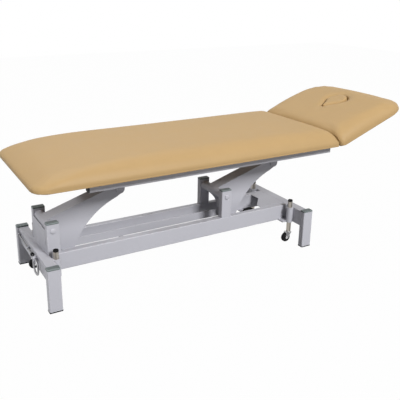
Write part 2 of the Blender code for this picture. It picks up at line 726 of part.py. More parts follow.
def actuator_mount(couch):
    """A bar between the rails, with two ears and the pin of the actuator's tail."""
    x = ACTUATOR_TAIL_X
    edge = RAIL_INNER - SEAT_GAP
    name = "actuator_mount"
    bar_bottom = RAIL_BOTTOM - MOUNT_BAR_DROP
    low = (x - MOUNT_BAR_LENGTH, -edge, bar_bottom)
    high = (x - ACTUATOR_EYE_RADIUS - MOUNT_EAR, edge, bar_bottom + MOUNT_BAR_HEIGHT)
    mount = add(name, box(name, low, high), couch, "powder_coat")
    inner = ACTUATOR_TAIL_WIDTH / 2 + SEAT_GAP
    for side, y_sign in SIDES:
        y = sorted((y_sign * inner, y_sign * (inner + MOUNT_EAR)))
        ear_low = (x - MOUNT_BAR_LENGTH + MOUNT_EAR, y[0], bar_bottom + MOUNT_EAR / 2)
        ear_high = (x + ACTUATOR_EYE_RADIUS, y[1], ACTUATOR_Z + ACTUATOR_EYE_RADIUS)
        join(mount, add(f"{name}_ear_{side}", box("ear", ear_low, ear_high), couch))
    pin = rod("mount_pin", (x, 0, ACTUATOR_Z), ACTUATOR_PIN_RADIUS, 2 * inner + MOUNT_EAR, 1)
    join(mount, add(name + "_pin", pin, couch))


def actuator(couch):
    """The actuator: a body with gearbox and motor, and a rod that slides in its tube."""
    hinge = axis("actuator_axis", couch, (ACTUATOR_TAIL_X, 0, ACTUATOR_Z))
    gearbox_end = GEARBOX_START + GEARBOX_LENGTH
    name = "actuator_body"
    low = (GEARBOX_START, -GEARBOX_WIDTH / 2, -GEARBOX_BELOW)
    high = (gearbox_end, GEARBOX_WIDTH / 2, GEARBOX_ABOVE)
    body = add(name, box(name, low, high, CAP_RADIUS), hinge, "dark_plastic")
    tail_half = ACTUATOR_TAIL_WIDTH / 2
    neck_low = (0.0, -tail_half, -ACTUATOR_EYE_RADIUS / 2)
    neck_high = (GEARBOX_START + TUBE_WALL, tail_half, ACTUATOR_EYE_RADIUS / 2)
    join(body, add(name + "_neck", box("neck", neck_low, neck_high), hinge))
    tail = rod("tail", (0, 0, 0), ACTUATOR_EYE_RADIUS - TUBE_WALL, ACTUATOR_TAIL_WIDTH, 1)
    join(body, add(name + "_tail", tail, hinge))
    tail_bore = rod("tail_bore", (0, 0, 0), ACTUATOR_PIN_RADIUS + BORE_GAP, 2 * ACTUATOR_TAIL_WIDTH, 1)
    cut(body, add(name + "_tail_bore", tail_bore, hinge))
    tube_start = gearbox_end - TUBE_WALL
    tube_length = ACTUATOR_TUBE_END - tube_start
    tube_middle = (tube_start + tube_length / 2, 0, 0)
    join(body, add(name + "_tube", rod("tube", tube_middle, ACTUATOR_TUBE_RADIUS, tube_length, 0), hinge))
    motor_middle = (tube_start + MOTOR_LENGTH / 2, 0, -MOTOR_BELOW_AXIS)
    join(body, add(name + "_motor", rod("motor", motor_middle, MOTOR_RADIUS, MOTOR_LENGTH, 0), hinge))
    bore_start = gearbox_end + TUBE_WALL
    bore_middle = (bore_start + tube_length / 2, 0, 0)
    bore = rod("rod_bore", bore_middle, ACTUATOR_ROD_RADIUS + BORE_GAP, tube_length, 0)
    cut(body, add(name + "_rod_bore", bore, hinge))
    name = "actuator_rod"
    rod_middle = (ACTUATOR_LENGTH - ACTUATOR_ROD_LENGTH / 2, 0, 0)
    mesh = rod(name, rod_middle, ACTUATOR_ROD_RADIUS, ACTUATOR_ROD_LENGTH, 0)
    piston = add(name, mesh, hinge, "zinc_steel")
    place = (ACTUATOR_LENGTH, 0, 0)
    join(piston, add(name + "_eye", rod("eye", place, ACTUATOR_EYE_RADIUS, ACTUATOR_EYE_WIDTH, 1), hinge))
    join(piston, add(name + "_pin", rod("rod_pin", place, ROD_PIN_RADIUS, ROD_PIN_LENGTH, 1), hinge))


def caster(end, side, x, y, couch):
    """One caster: a stem in its sleeve, a swivelling fork and a wheel."""
    place = f"{end}_{side}"
    swivel = axis(f"caster_axis_{place}", couch, (x, y, 0.0))
    spigot_end = STEM_BOTTOM - STEM_SPIGOT_LENGTH
    chamfer = TUBE_WALL
    bore_end = STEM_BOTTOM + STEM_FLOOR
    profile = [
        (0.0, bore_end), (STEM_BORE_RADIUS, bore_end), (STEM_BORE_RADIUS, STEM_TOP),
        (STEM_RADIUS - chamfer, STEM_TOP), (STEM_RADIUS, STEM_TOP - chamfer),
        (STEM_RADIUS, STEM_BOTTOM), (STEM_SPIGOT_RADIUS, STEM_BOTTOM),
        (STEM_SPIGOT_RADIUS, spigot_end), (0.0, spigot_end),
    ]
    turned(f"caster_stem_{place}", profile, swivel, "zinc_steel")
    fork(f"caster_fork_{place}", swivel)
    wheel(f"caster_wheel_{place}", swivel, place)


def fork(name, swivel):
    """A caster fork: a hub, a bridge, two cheeks and the wheel's axle."""
    bridge_bottom = WHEEL_Z + WHEEL_RADIUS + FORK_CLEARANCE
    hub_top = STEM_BOTTOM - SEAT_GAP
    half = WHEEL_WIDTH / 2 + FORK_CHEEK_GAP
    outer = half + FORK_CHEEK
    low = (-WHEEL_TRAIL - FORK_CHEEK, -outer, bridge_bottom)
    high = (FORK_HUB_RADIUS, outer, bridge_bottom + FORK_BRIDGE)
    obj = add(name, box(name, low, high), swivel, "fork_steel")
    hub_height = hub_top - bridge_bottom
    hub = rod("hub", (0, 0, bridge_bottom + hub_height / 2), FORK_HUB_RADIUS, hub_height, 2)
    join(obj, add(name + "_hub", hub, swivel))
    edge = WHEEL_AXLE_RADIUS * 2
    top = bridge_bottom + FORK_BRIDGE / 2
    outline = [(FORK_HUB_RADIUS, top), (-WHEEL_TRAIL - FORK_CHEEK, top)]
    outline += arc((-WHEEL_TRAIL, WHEEL_Z), edge, math.radians(180), math.radians(330), 6)
    for side, y_sign in SIDES:
        cheek = slab("cheek", outline, FORK_CHEEK, upright(y_sign * (half + FORK_CHEEK / 2)))
        join(obj, add(f"{name}_cheek_{side}", cheek, swivel))
    pin = rod("wheel_axle", (-WHEEL_TRAIL, 0, WHEEL_Z), WHEEL_AXLE_RADIUS, 2 * outer + FORK_CHEEK, 1)
    join(obj, add(name + "_axle", pin, swivel))
    bore_radius = STEM_SPIGOT_RADIUS + BORE_GAP
    spigot = rod("spigot_bore", (0, 0, STEM_BOTTOM), bore_radius, 4 * STEM_SPIGOT_LENGTH, 2)
    cut(obj, add(name + "_bore", spigot, swivel))


def wheel(name, swivel, place):
    """A caster wheel with a rounded tread and a bore."""
    spin = axis(f"wheel_axis_{place}", swivel, (-WHEEL_TRAIL, 0, WHEEL_Z))
    half = WHEEL_WIDTH / 2
    shoulder = WHEEL_RADIUS - 0.3 * half
    bore = WHEEL_AXLE_RADIUS + BORE_GAP
    profile = [
        (bore, half), (shoulder, half), (WHEEL_RADIUS, 0.5 * half),
        (WHEEL_RADIUS, -0.5 * half), (shoulder, -half), (bore, -half),
    ]
    turned(name, profile, spin, "black_rubber", along=1, steps=FINE_STEPS, closed=True)


def top_frame(couch):
    """The frame under the main pad: rails, crossbars, arm carriers and their pins."""
    hinge = axis("top_frame_axis", couch, (FOOT_PIVOT_X + ARM_TIP[0], 0, TOP_PIVOT_Z))
    origin = hinge.location
    for side, y_sign in SIDES:
        y = sorted((y_sign * TOP_FRAME_WIDTH / 2, y_sign * (TOP_FRAME_WIDTH / 2 - TOP_RAIL_WIDTH)))
        name = f"top_rail_{side}"
        low = Vector((TOP_FRAME_FOOT_X, y[0], TOP_RAIL_BOTTOM)) - origin
        high = Vector((TOP_FRAME_HEAD_X, y[1], TOP_RAIL_TOP)) - origin
        add(name, tube(name, low, high, 0), hinge, "powder_coat")
    crossbar("top_crossbar_foot", TOP_FRAME_FOOT_X + CROSSBAR_WIDTH / 2, hinge)
    head_bar = crossbar("top_crossbar_head", TOP_FRAME_HEAD_X - CROSSBAR_WIDTH / 2, hinge)
    hinge_ears(head_bar, hinge)
    for end, pivot_x in (("foot", FOOT_PIVOT_X), ("head", HEAD_PIVOT_X)):
        arm_carrier(end, pivot_x + ARM_TIP[0], hinge)
    return hinge


def crossbar(name, x, hinge):
    """A tube across the top frame, level with the top of its rails."""
    origin = hinge.location
    low = Vector((x - CROSSBAR_WIDTH / 2, -CROSSBAR_REACH, TOP_RAIL_TOP - CROSSBAR_HEIGHT)) - origin
    high = Vector((x + CROSSBAR_WIDTH / 2, CROSSBAR_REACH, TOP_RAIL_TOP)) - origin
    return add(name, tube(name, low, high, 1), hinge, "powder_coat")


def arm_carrier(end, x, hinge):
    """A crossbar with two lugs that hang down on either side of an arm's tip, and its pin."""
    name = f"{end}_arm_carrier"
    carrier = crossbar(name, x, hinge)
    pivot = Vector((x, 0, TOP_PIVOT_Z)) - hinge.location
    top = TOP_RAIL_TOP - CROSSBAR_HEIGHT - TOP_PIVOT_Z + TUBE_WALL / 2
    half = LUG_TOP_LENGTH / 2
    outline = [(half, top), (-half, top)]
    outline += arc((0.0, 0.0), LUG_RADIUS, math.radians(190), math.radians(350), 12)
    outline = [(px + pivot.x, pz + pivot.z) for px, pz in outline]
    inner = ARM_WIDTH / 2 + LUG_GAP
    for side, y_sign in SIDES:
        lug = slab("lug", outline, LUG_THICKNESS, upright(y_sign * (inner + LUG_THICKNESS / 2)))
        join(carrier, add(f"{name}_lug_{side}", lug, hinge))
    hole = rod("lug_hole", pivot, TIP_BORE_RADIUS + BORE_GAP, 2 * RAIL_SPREAD, 1)
    cut(carrier, add(name + "_hole", hole, hinge))
    seat = inner + LUG_THICKNESS + SEAT_GAP
    end_y = seat + PIN_HEAD_HEIGHT
    head = PIN_HEAD_RADIUS
    half_profile = [(0.0, end_y), (head, end_y), (head, seat), (TIP_BORE_RADIUS, seat)]
    profile = half_profile + [(radius, -height) for radius, height in reversed(half_profile)]
    turned(f"{end}_arm_top_pin", profile, hinge, "zinc_steel", pivot, 1)


def hinge_ears(bar, hinge):
    """Ears on the head crossbar, in pairs about each hinge barrel, with the hinge pins."""
    pivot = Vector((HINGE_X, 0, HINGE_Z)) - hinge.location
    back = TOP_FRAME_HEAD_X - TUBE_WALL / 2 - hinge.location.x
    bar_bottom = TOP_RAIL_TOP - CROSSBAR_HEIGHT + TUBE_WALL - hinge.location.z
    bottom = max(pivot.z - HINGE_BARREL_RADIUS, bar_bottom)
    ear_top = TOP_RAIL_TOP - TUBE_WALL - hinge.location.z
    inner = HEAD_BAR_WIDTH / 2 + HINGE_EAR_GAP
    for side, y_sign in SIDES:
        y = y_sign * HEAD_BAR_SPREAD / 2
        for place, ear_sign in (("inner", -y_sign), ("outer", y_sign)):
            ear_y = sorted((y + ear_sign * inner, y + ear_sign * (inner + HINGE_EAR)))
            low = (back, ear_y[0], bottom)
            high = (pivot.x + HINGE_BARREL_RADIUS, ear_y[1], ear_top)
            join(bar, add(f"hinge_ear_{side}_{place}", box("hinge_ear", low, high), hinge))
        pin_length = 2 * inner + HINGE_EAR
        pin = rod("hinge_pin", (pivot.x, y, pivot.z), HINGE_PIN_RADIUS, pin_length, 1)
        join(bar, add(f"hinge_pin_{side}", pin, hinge))


def rounded_plan(length, width, low_radius, high_radius):
    """A rectangle about its middle, with one corner radius at its -X end and one at its +X end."""
    x = length / 2
    y = width / 2
    low_x = low_radius - x
    high_x = x - high_radius
    low_y = y - low_radius
    high_y = y - high_radius
    corners = (
        (high_x, high_y, high_radius, 0), (low_x, low_y, low_radius, 90),
        (low_x, -low_y, low_radius, 180), (high_x, -high_y, high_radius, 270),
    )
    points = []
    for cx, cy, radius, start in corners:
        points += arc((cx, cy), radius, math.radians(start), math.radians(start + 90), CORNER_STEPS)
    return points


def cushion_rings(height):
    """Rings from the underside up: how far in from the widest line, and how high."""
    rings = [(PAD_UNDERCUT, 0.0)]
    roll_rise = PAD_ROLL_TOP_SHARE * height - PAD_WAIST
    for i in range(ROLL_STEPS + 1):
        angle = math.radians(90) * i / ROLL_STEPS
        rings.append((PAD_ROLL * (1 - math.cos(angle)), PAD_WAIST + roll_rise * math.sin(angle)))
    return rings + [(PAD_CROWN_INSET, height)]


def end_inset(inset, rise, end):
    """How far in an end of a cushion lies, from its share of the sides' inset and its lean."""
    share, lean = end
    return inset * share + rise * lean if rise else inset


def cushion(name, plan, half_size, height, matrix, low_end, high_end):
    """A padded form: a plan outline drawn up through rings to a crown.

    The ends at -X and +X each have a share of the sides' inset, and a lean.
    """
    bm = bmesh.new()
    verts = [bm.verts.new((x, y, 0.0)) for x, y in plan]
    count = len(verts)
    ring = [bm.edges.new((verts[i], verts[(i + 1) % count])) for i in range(count)]
    bottom = ring
    moved = verts
    size = (half_size[0], half_size[1])
    shift = 0.0
    last_rise = 0.0
    for step, (inset, rise) in enumerate(cushion_rings(height)):
        if step:
            made = bmesh.ops.extrude_edge_only(bm, edges=ring)["geom"]
            ring = [item for item in made if isinstance(item, bmesh.types.BMEdge)]
            moved = [item for item in made if isinstance(item, bmesh.types.BMVert)]
        low_inset = end_inset(inset, rise, low_end)
        high_inset = end_inset(inset, rise, high_end)
        next_size = (half_size[0] - (low_inset + high_inset) / 2, half_size[1] - inset)
        next_shift = (low_inset - high_inset) / 2
        bmesh.ops.translate(bm, vec=(-shift, 0, rise - last_rise), verts=moved)
        bmesh.ops.scale(bm, vec=(next_size[0] / size[0], next_size[1] / size[1], 1.0), verts=moved)
        bmesh.ops.translate(bm, vec=(next_shift, 0, 0), verts=moved)
        size = next_size
        shift = next_shift
        last_rise = rise
    bmesh.ops.contextual_create(bm, geom=bottom)
    bmesh.ops.contextual_create(bm, geom=ring)
    bmesh.ops.transform(bm, matrix=matrix, verts=bm.verts[:])
    mesh = mesh_from(bm, name)
    mesh.shade_smooth()
    return mesh


def main_pad(hinge):
    """The main board and its cushion."""
    middle_x = MAIN_PAD_FOOT_X + MAIN_PAD_LENGTH / 2
    origin = hinge.location
    board_size = (MAIN_PAD_LENGTH - 2 * BOARD_MARGIN, PAD_WIDTH - 2 * BOARD_MARGIN)
    board_plan = rounded_plan(*board_size, FOOT_CORNER - BOARD_MARGIN, TUBE_RADIUS)
    centre = Vector((middle_x, 0, BOARD_BOTTOM + BOARD_THICKNESS / 2)) - origin
    board = slab("main_board", board_plan, BOARD_THICKNESS, Matrix.Translation(centre))
    add("main_board", board, hinge, "plywood")
    plan = rounded_plan(MAIN_PAD_LENGTH, PAD_WIDTH, FOOT_CORNER, JOINT_CORNER)
    base = Vector((middle_x, 0, BOARD_BOTTOM + BOARD_THICKNESS + SEAT_GAP)) - origin
    half_size = (MAIN_PAD_LENGTH / 2, PAD_WIDTH / 2)
    place = Matrix.Translation(base)
    ends = ((FOOT_END_SHARE, 0.0), (HINGE_END_SHARE, HINGE_END_LEAN))
    mesh = cushion("main_cushion", plan, half_size, MAIN_PAD_THICKNESS, place, *ends)
    add("main_cushion", mesh, hinge, "vinyl")


def teardrop(grow):
    """The nose hole's outline, made larger by an amount all round."""
    radius = NOSE_RADIUS + grow
    tip_radius = max(NOSE_TIP_RADIUS + grow, NOSE_TIP_RADIUS / 4)
    tip = NOSE_POINT + NOSE_TIP_RADIUS
    lean = math.acos((radius - tip_radius) / (NOSE_CENTRE - tip))
    round_end = arc((NOSE_CENTRE, 0.0), radius, lean - math.pi, math.pi - lean, ROUND_STEPS)
    point = arc((tip, 0.0), tip_radius, math.pi - lean, math.pi + lean, CORNER_STEPS)
    return round_end + point


def head_section(couch):
    """The hinged head section: two bars, a board, a cushion and the plug of its nose hole."""
    hinge = axis("head_section_axis", couch, (HINGE_X, 0, HINGE_Z), (0, -HEAD_TILT, 0))
    board_bottom = HINGE_BELOW_BOARD
    bar_top = board_bottom - SEAT_GAP
    for side, y_sign in SIDES:
        y = y_sign * HEAD_BAR_SPREAD / 2
        head_bar(f"head_bar_{side}", y, bar_top, hinge)
    middle_x = HEAD_PAD_START + HEAD_PAD_LENGTH / 2
    board_size = (HEAD_PAD_LENGTH - 2 * HEAD_BOARD_MARGIN, PAD_WIDTH - 2 * HEAD_BOARD_MARGIN)
    board_plan = rounded_plan(*board_size, TUBE_RADIUS, HEAD_CORNER - HEAD_BOARD_MARGIN)
    centre = (middle_x, 0, board_bottom + HEAD_BOARD_THICKNESS / 2)
    mesh = slab("head_board", board_plan, HEAD_BOARD_THICKNESS, Matrix.Translation(centre))
    board = add("head_board", mesh, hinge, "plywood")
    through = slab("board_hole", teardrop(-NOSE_LEDGE), 4 * HEAD_BOARD_THICKNESS, level(centre[2]))
    cut(board, add("head_board_hole", through, hinge))
    pad = add("head_cushion", head_form("head_cushion", (middle_x, 0, board_bottom)), hinge, "vinyl")
    seat = HEAD_BOARD_THICKNESS + SEAT_GAP
    pocket_size = [size + 2 * SEAT_GAP for size in board_size]
    pocket_plan = rounded_plan(*pocket_size, TUBE_RADIUS, HEAD_CORNER - HEAD_BOARD_MARGIN)
    pocket = slab("pocket", pocket_plan, 2 * seat, Matrix.Translation((middle_x, 0, board_bottom)))
    cut(pad, add("head_cushion_pocket", pocket, hinge))
    hole = slab("nose_hole", teardrop(0.0), 4 * HEAD_PAD_THICKNESS, level(board_bottom))
    cut(pad, add("head_cushion_hole", hole, hinge))
    nose_plug((middle_x, 0, board_bottom), board_bottom + seat, hinge)


def head_form(name, place):
    """The head cushion's form, whose underside is level with the underside of its board."""
    plan = rounded_plan(HEAD_PAD_LENGTH, PAD_WIDTH, JOINT_CORNER, HEAD_CORNER)
    half_size = (HEAD_PAD_LENGTH / 2, PAD_WIDTH / 2)
    ends = ((HINGE_END_SHARE, 0.0), (HEAD_END_SHARE, 0.0))
    return cushion(name, plan, half_size, HEAD_PAD_THICKNESS, Matrix.Translation(place), *ends)


def head_bar(name, y, top, hinge):
    """A bar under the head board, with the hinge barrel at its end."""
    low = (HEAD_BAR_START, y - HEAD_BAR_WIDTH / 2, top - HEAD_BAR_HEIGHT)
    high = (HEAD_BAR_START + HEAD_BAR_LENGTH, y + HEAD_BAR_WIDTH / 2, top)
    obj = add(name, box(name, low, high, TUBE_WALL / 2), hinge, "powder_coat")
    neck_low = (0.0, y - HEAD_BAR_WIDTH / 2, -HINGE_BARREL_RADIUS)
    neck_high = (HEAD_BAR_START + 2 * TUBE_WALL, y + HEAD_BAR_WIDTH / 2, top)
    join(obj, add(name + "_neck", box("neck", neck_low, neck_high), hinge))
    barrel = rod("barrel", (0, y, 0), HINGE_BARREL_RADIUS, HEAD_BAR_WIDTH, 1)
    join(obj, add(name + "_barrel", barrel, hinge))
    bore = rod("hinge_bore", (0, y, 0), HINGE_PIN_RADIUS + BORE_GAP, 2 * HEAD_BAR_WIDTH, 1)
    cut(obj, add(name + "_bore", bore, hinge))


def nose_plug(place, base, hinge):
    """The upholstered plug that fills the nose hole, seated on the board's ledge."""
    middle = (NOSE_POINT + NOSE_CENTRE + NOSE_RADIUS) / 2
    origin = Vector((middle, 0, base))
    slide = axis("nose_plug_axis", hinge, origin)
    plug = add("nose_plug", head_form("nose_plug", Vector(place) - origin), slide, "vinyl")
    outline = [(x - middle, y) for x, y in teardrop(-NOSE_GAP)]
    sides = slab("plug_sides", outline, HEAD_PAD_THICKNESS, level(SEAT_GAP + HEAD_PAD_THICKNESS / 2))
    boolean(plug, add("nose_plug_sides", sides, slide), "INTERSECT")


def reach_along_x(couch):
    """The least and greatest X of all the pieces."""
    bpy.context.view_layer.update()
    depsgraph = bpy.context.evaluated_depsgraph_get()
    reach = []
    for obj in PARTS.objects:
        if obj.type != "EMPTY":
            solid = obj.evaluated_get(depsgraph)
            reach += [(solid.matrix_world @ Vector(corner)).x for corner in solid.bound_box]
    return min(reach), max(reach)


def build():
    """Make every piece, then set the couch about the origin."""
    couch = axis(COUCH + "_base", None, (0, 0, 0))
    base_tubes(couch)
    for end, x_sign in ENDS:
        gusset_length = FOOT_GUSSET_LENGTH if end == "foot" else HEAD_GUSSET_LENGTH
        beam = crossbeam(end, x_sign, gusset_length, couch)
        if end == "foot":
            post_plate(beam, couch)
            pedal_lugs(beam, couch)
    pedal(couch)
    posts(couch)
    deck_plate(couch)
    control_box(couch)
    for end, pivot_x in (("foot", FOOT_PIVOT_X), ("head", HEAD_PIVOT_X)):
        arm(f"{end}_arm", pivot_x, couch)
    tie_bars(couch)
    actuator_mount(couch)
    actuator(couch)
    for end, x_sign in ENDS:
        for side, y_sign in SIDES:
            caster(end, side, x_sign * CASTER_X, y_sign * CASTER_Y, couch)
    frame = top_frame(couch)
    main_pad(frame)
    head_section(couch)
    low, high = reach_along_x(couch)
    couch.location.x = -(low + high) / 2


build()
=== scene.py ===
"""Looks of a height-adjustable examination couch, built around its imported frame.

Units are metres. +X points to the head end, and left is -Y, as someone lying on their back has it.
"""
import json
import logging
import math
from collections.abc import Callable, Mapping, Sequence
from dataclasses import dataclass, field, replace
from enum import Enum
from typing import Any

import bmesh
import bpy
from mathutils import Matrix, Vector

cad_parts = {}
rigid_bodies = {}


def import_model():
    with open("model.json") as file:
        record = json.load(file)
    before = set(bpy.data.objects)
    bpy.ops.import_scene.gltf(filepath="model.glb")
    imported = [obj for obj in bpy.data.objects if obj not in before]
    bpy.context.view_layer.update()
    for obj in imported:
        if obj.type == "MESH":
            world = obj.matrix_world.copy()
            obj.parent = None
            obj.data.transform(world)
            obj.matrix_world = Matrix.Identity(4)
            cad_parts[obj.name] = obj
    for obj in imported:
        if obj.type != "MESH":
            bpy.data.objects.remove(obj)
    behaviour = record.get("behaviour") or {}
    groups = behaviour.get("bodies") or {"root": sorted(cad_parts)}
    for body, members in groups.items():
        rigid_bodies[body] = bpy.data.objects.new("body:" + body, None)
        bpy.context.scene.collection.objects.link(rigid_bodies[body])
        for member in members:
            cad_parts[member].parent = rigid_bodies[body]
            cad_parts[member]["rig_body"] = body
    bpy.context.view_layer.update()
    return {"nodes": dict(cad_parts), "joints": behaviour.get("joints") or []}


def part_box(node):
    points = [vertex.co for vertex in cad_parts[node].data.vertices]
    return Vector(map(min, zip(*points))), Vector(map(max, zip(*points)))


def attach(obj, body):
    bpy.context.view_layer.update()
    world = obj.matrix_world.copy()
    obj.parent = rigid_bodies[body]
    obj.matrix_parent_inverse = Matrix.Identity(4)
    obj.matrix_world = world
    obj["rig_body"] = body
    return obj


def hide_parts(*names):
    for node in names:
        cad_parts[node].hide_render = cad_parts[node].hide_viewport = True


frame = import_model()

LOG = logging.getLogger("couch")

Triple = tuple[float, float, float]
Colour = Triple
Point = tuple[float, float]
EdgeTest = Callable[[bmesh.types.BMEdge], bool]

SIDES = ("left", "right")
ENDS = ("foot", "head")
PLACES = tuple(f"{end}_{side}" for end in ENDS for side in SIDES)
WHITE = (1.0, 1.0, 1.0)
WEAR_LAYER = "edge_wear"
# The radius of a box tube's long edges, and how deep a small fitting is let into what it stands on.
TUBE_ROUND = 0.0045
LET_IN = 0.0005


class Slot(Enum):
    """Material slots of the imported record."""

    POWDER_COAT = "powder_coat"
    CAP_PLASTIC = "cap_plastic"
    VINYL = "vinyl"
    PLYWOOD = "plywood"
    ZINC_STEEL = "zinc_steel"
    BLACK_RUBBER = "black_rubber"
    FORK_STEEL = "fork_steel"
    DARK_PLASTIC = "dark_plastic"


class Along(Enum):
    """The long axis of a bar or of a turned piece."""

    X = 0
    Y = 1
    Z = 2

    @property
    def vector(self) -> Vector:
        """The unit vector of this axis."""
        return Vector([1.0 if i == self.value else 0.0 for i in range(3)])


def operator(operation: str, swapped: bool = False) -> Callable[["Value", Any], "Value"]:
    """A Python operator of shader values that adds a Math node.

    Args:
        operation: The node's operation.
        swapped: Whether the other value comes first.

    Returns:
        The method.
    """
    def apply(this: "Value", other: "Value | float") -> "Value":
        """The node's result on two values."""
        pair = (other, this) if swapped else (this, other)
        return this.graph.node("Math", {"operation": operation}, dict(enumerate(pair)))

    return apply


class Value:
    """A shader socket that takes part in Python sums."""

    __add__ = operator("ADD")
    __radd__ = operator("ADD", swapped=True)
    __sub__ = operator("SUBTRACT")
    __rsub__ = operator("SUBTRACT", swapped=True)
    __mul__ = operator("MULTIPLY")
    greater = operator("MAXIMUM")

    def __init__(self, graph: "Graph", socket: bpy.types.NodeSocket) -> None:
        """Hold a socket of a graph."""
        self.graph = graph
        self.socket = socket

    def swing(self, size: float) -> "Value":
        """This noise, which lies about a half, brought to lie about 0 at a size."""
        return (self - 0.5) * size

    def over(self, start: float, full: float) -> "Value":
        """A mask that rises from 0 to 1 between two levels of this value.

        Args:
            start: The level at which the mask leaves 0.
            full: The level at which it reaches 1.

        Returns:
            The mask.
        """
        levels = {"Value": self, "From Min": start, "From Max": full}
        return self.graph.node("MapRange", {"clamp": True}, levels)


@dataclass(frozen=True)
class Noise:
    """A layered noise, as it is or as a mask between two of its levels.

    The scale is in waves to a metre, detail counts the finer layers and rough is their strength.
    """

    scale: float
    detail: float = 2.0
    rough: float = 0.5
    levels: Point | None = None


def shade(colour: Colour, share: float) -> Colour:
    """A colour made lighter or darker by a share."""
    return tuple(min(1.0, part * share) for part in colour)


class Graph:
    """The node tree of a material or of the world."""

    def __init__(self, tree: bpy.types.NodeTree) -> None:
        """Work on a node tree."""
        self.tree = tree

    def plug(self, socket: bpy.types.NodeSocket, value: Any) -> None:
        """Link a Value to an input socket, or set its number, colour or vector.

        Args:
            socket: The input socket.
            value: What it gets.
        """
        if isinstance(value, Value):
            self.tree.links.new(value.socket, socket)
        elif socket.type == "RGBA":
            socket.default_value = (*value, 1.0)
        else:
            socket.default_value = value

    def node(
        self, kind: str, settings: Mapping[str, Any], inputs: Mapping[Any, Any], output: Any = 0
    ) -> Value:
        """Add a node.

        Args:
            kind: The node's type, without its ShaderNode prefix.
            settings: Its settings.
            inputs: Values or links of its sockets, by name or number.
            output: The name or number of the socket to give back.

        Returns:
            That output socket.
        """
        made = self.tree.nodes.new("ShaderNode" + kind)
        for name, value in settings.items():
            setattr(made, name, value)
        for key, value in inputs.items():
            self.plug(made.inputs[key], value)
        return Value(self, made.outputs[output])

    def place(self, stretch: Sequence[float] = (1, 1, 1), turn: float = 0.0) -> Value:
        """Object coordinates, stretched and turned about Y.

        Args:
            stretch: The scale along each axis.
            turn: The turn about Y, in radians.

        Returns:
            The coordinates.
        """
        plain = self.node("TexCoord", {}, {}, "Object")
        turned = self.node("Mapping", {}, {"Vector": plain, "Rotation": (0.0, turn, 0.0)})
        return self.node("Mapping", {}, {"Vector": turned, "Scale": stretch})

    def noise(self, place: Value, kind: Noise) -> Value:
        """A noise between 0 and 1 at some coordinates.

        Args:
            place: The coordinates.
            kind: The noise.

        Returns:
            The noise, or its mask.
        """
        sockets = {"Scale": kind.scale, "Detail": kind.detail, "Roughness": kind.rough}
        made = self.node("TexNoise", {}, {"Vector": place, **sockets})
        return made.over(*kind.levels) if kind.levels else made

    def noises(self, *kinds: Noise) -> list[Value]:
        """Several noises at the plain object coordinates."""
        place = self.place()
        return [self.noise(place, kind) for kind in kinds]

    def mix(self, share: Value, first: Any, second: Any) -> Value:
        """Mix two colours, by the share of the second."""
        return self.node("Mix", {"data_type": "RGBA"}, {0: share, 6: first, 7: second}, 2)

    def tone(self, share: Value, colour: Colour, shades: Point) -> Value:
        """A colour between a darker and a lighter shade of itself."""
        dark, light = (shade(colour, part) for part in shades)
        return self.mix(share, dark, light)

    def wear(self) -> Value:
        """How far a face belongs to a rounded edge, from 0 to 1."""
        return self.node("Attribute", {"attribute_name": WEAR_LAYER}, {}, "Fac")


@dataclass(frozen=True)
class Finish:
    """A surface finish. Its relief is how strongly its bumps show and how deep they are."""

    name: str
    slot: Slot
    colour: Colour
    roughness: float
    relief: Point = (0.25, 0.0004)
    gloss: float = 0.5
    ior: float = 1.5
    metallic: float = 0.0

    def material(self) -> bpy.types.Material:
        """The finish as a material, made once.

        Returns:
            The material.
        """
        found = bpy.data.materials.get(self.name)
        if found:
            return found
        made = bpy.data.materials.new(self.name)
        made.use_nodes = True
        self.dress(Graph(made.node_tree))
        return made

    def dress(self, graph: Graph) -> None:
        """Lay the finish's nodes; each kind of finish has its own.

        Args:
            graph: The material's nodes.
        """
        raise NotImplementedError

    def coat(self, graph: Graph, colour: Value, roughness: Value, height: Value) -> None:
        """Fill in the Principled shader.

        Args:
            graph: The material's nodes.
            colour: The colour over the surface.
            roughness: The roughness over the surface.
            height: The height of its bumps, from 0 to 1.
        """
        strength, depth = self.relief
        bump = {"Strength": strength, "Distance": depth, "Height": height}
        sockets = {
            "Base Color": colour, "Roughness": roughness, "Metallic": self.metallic,
            "IOR": self.ior, "Specular IOR Level": self.gloss,
            "Normal": graph.node("Bump", {}, bump, "Normal"),
        }
        shader = graph.tree.nodes["Principled BSDF"]
        for name, value in sockets.items():
            graph.plug(shader.inputs[name], value)


@dataclass(frozen=True)
class PowderCoat(Finish):
    """Baked powder paint: a fine orange peel, faint clouding and edges rubbed pale."""

    worn: Colour = (0.66, 0.66, 0.69)
    shades: Point = (0.96, 1.04)
    cloud: Noise = Noise(7.0, 3.0)
    peel: Noise = Noise(650.0, 2.0, 0.4)
    grime: Noise = Noise(34.0, 6.0, 0.7, (0.60, 0.78))
    rub: Noise = Noise(85.0, 4.0, 0.6, (0.50, 0.68))
    grime_shade: float = 0.55
    grime_share: float = 0.10
    rub_share: float = 0.55
    uneven: float = 0.10
    gloss: float = 0.20
    ior: float = 1.48
    relief: Point = (0.14, 0.0005)

    def dress(self, graph: Graph) -> None:
        """Lay the paint's nodes."""
        cloud, peel, grime, rub = graph.noises(self.cloud, self.peel, self.grime, self.rub)
        paint = graph.tone(cloud, self.colour, self.shades)
        dusty = graph.mix(grime * self.grime_share, paint, shade(self.colour, self.grime_shade))
        colour = graph.mix(graph.wear() * rub * self.rub_share, dusty, self.worn)
        roughness = self.roughness + cloud.swing(self.uneven) + grime * self.uneven
        self.coat(graph, colour, roughness, peel)


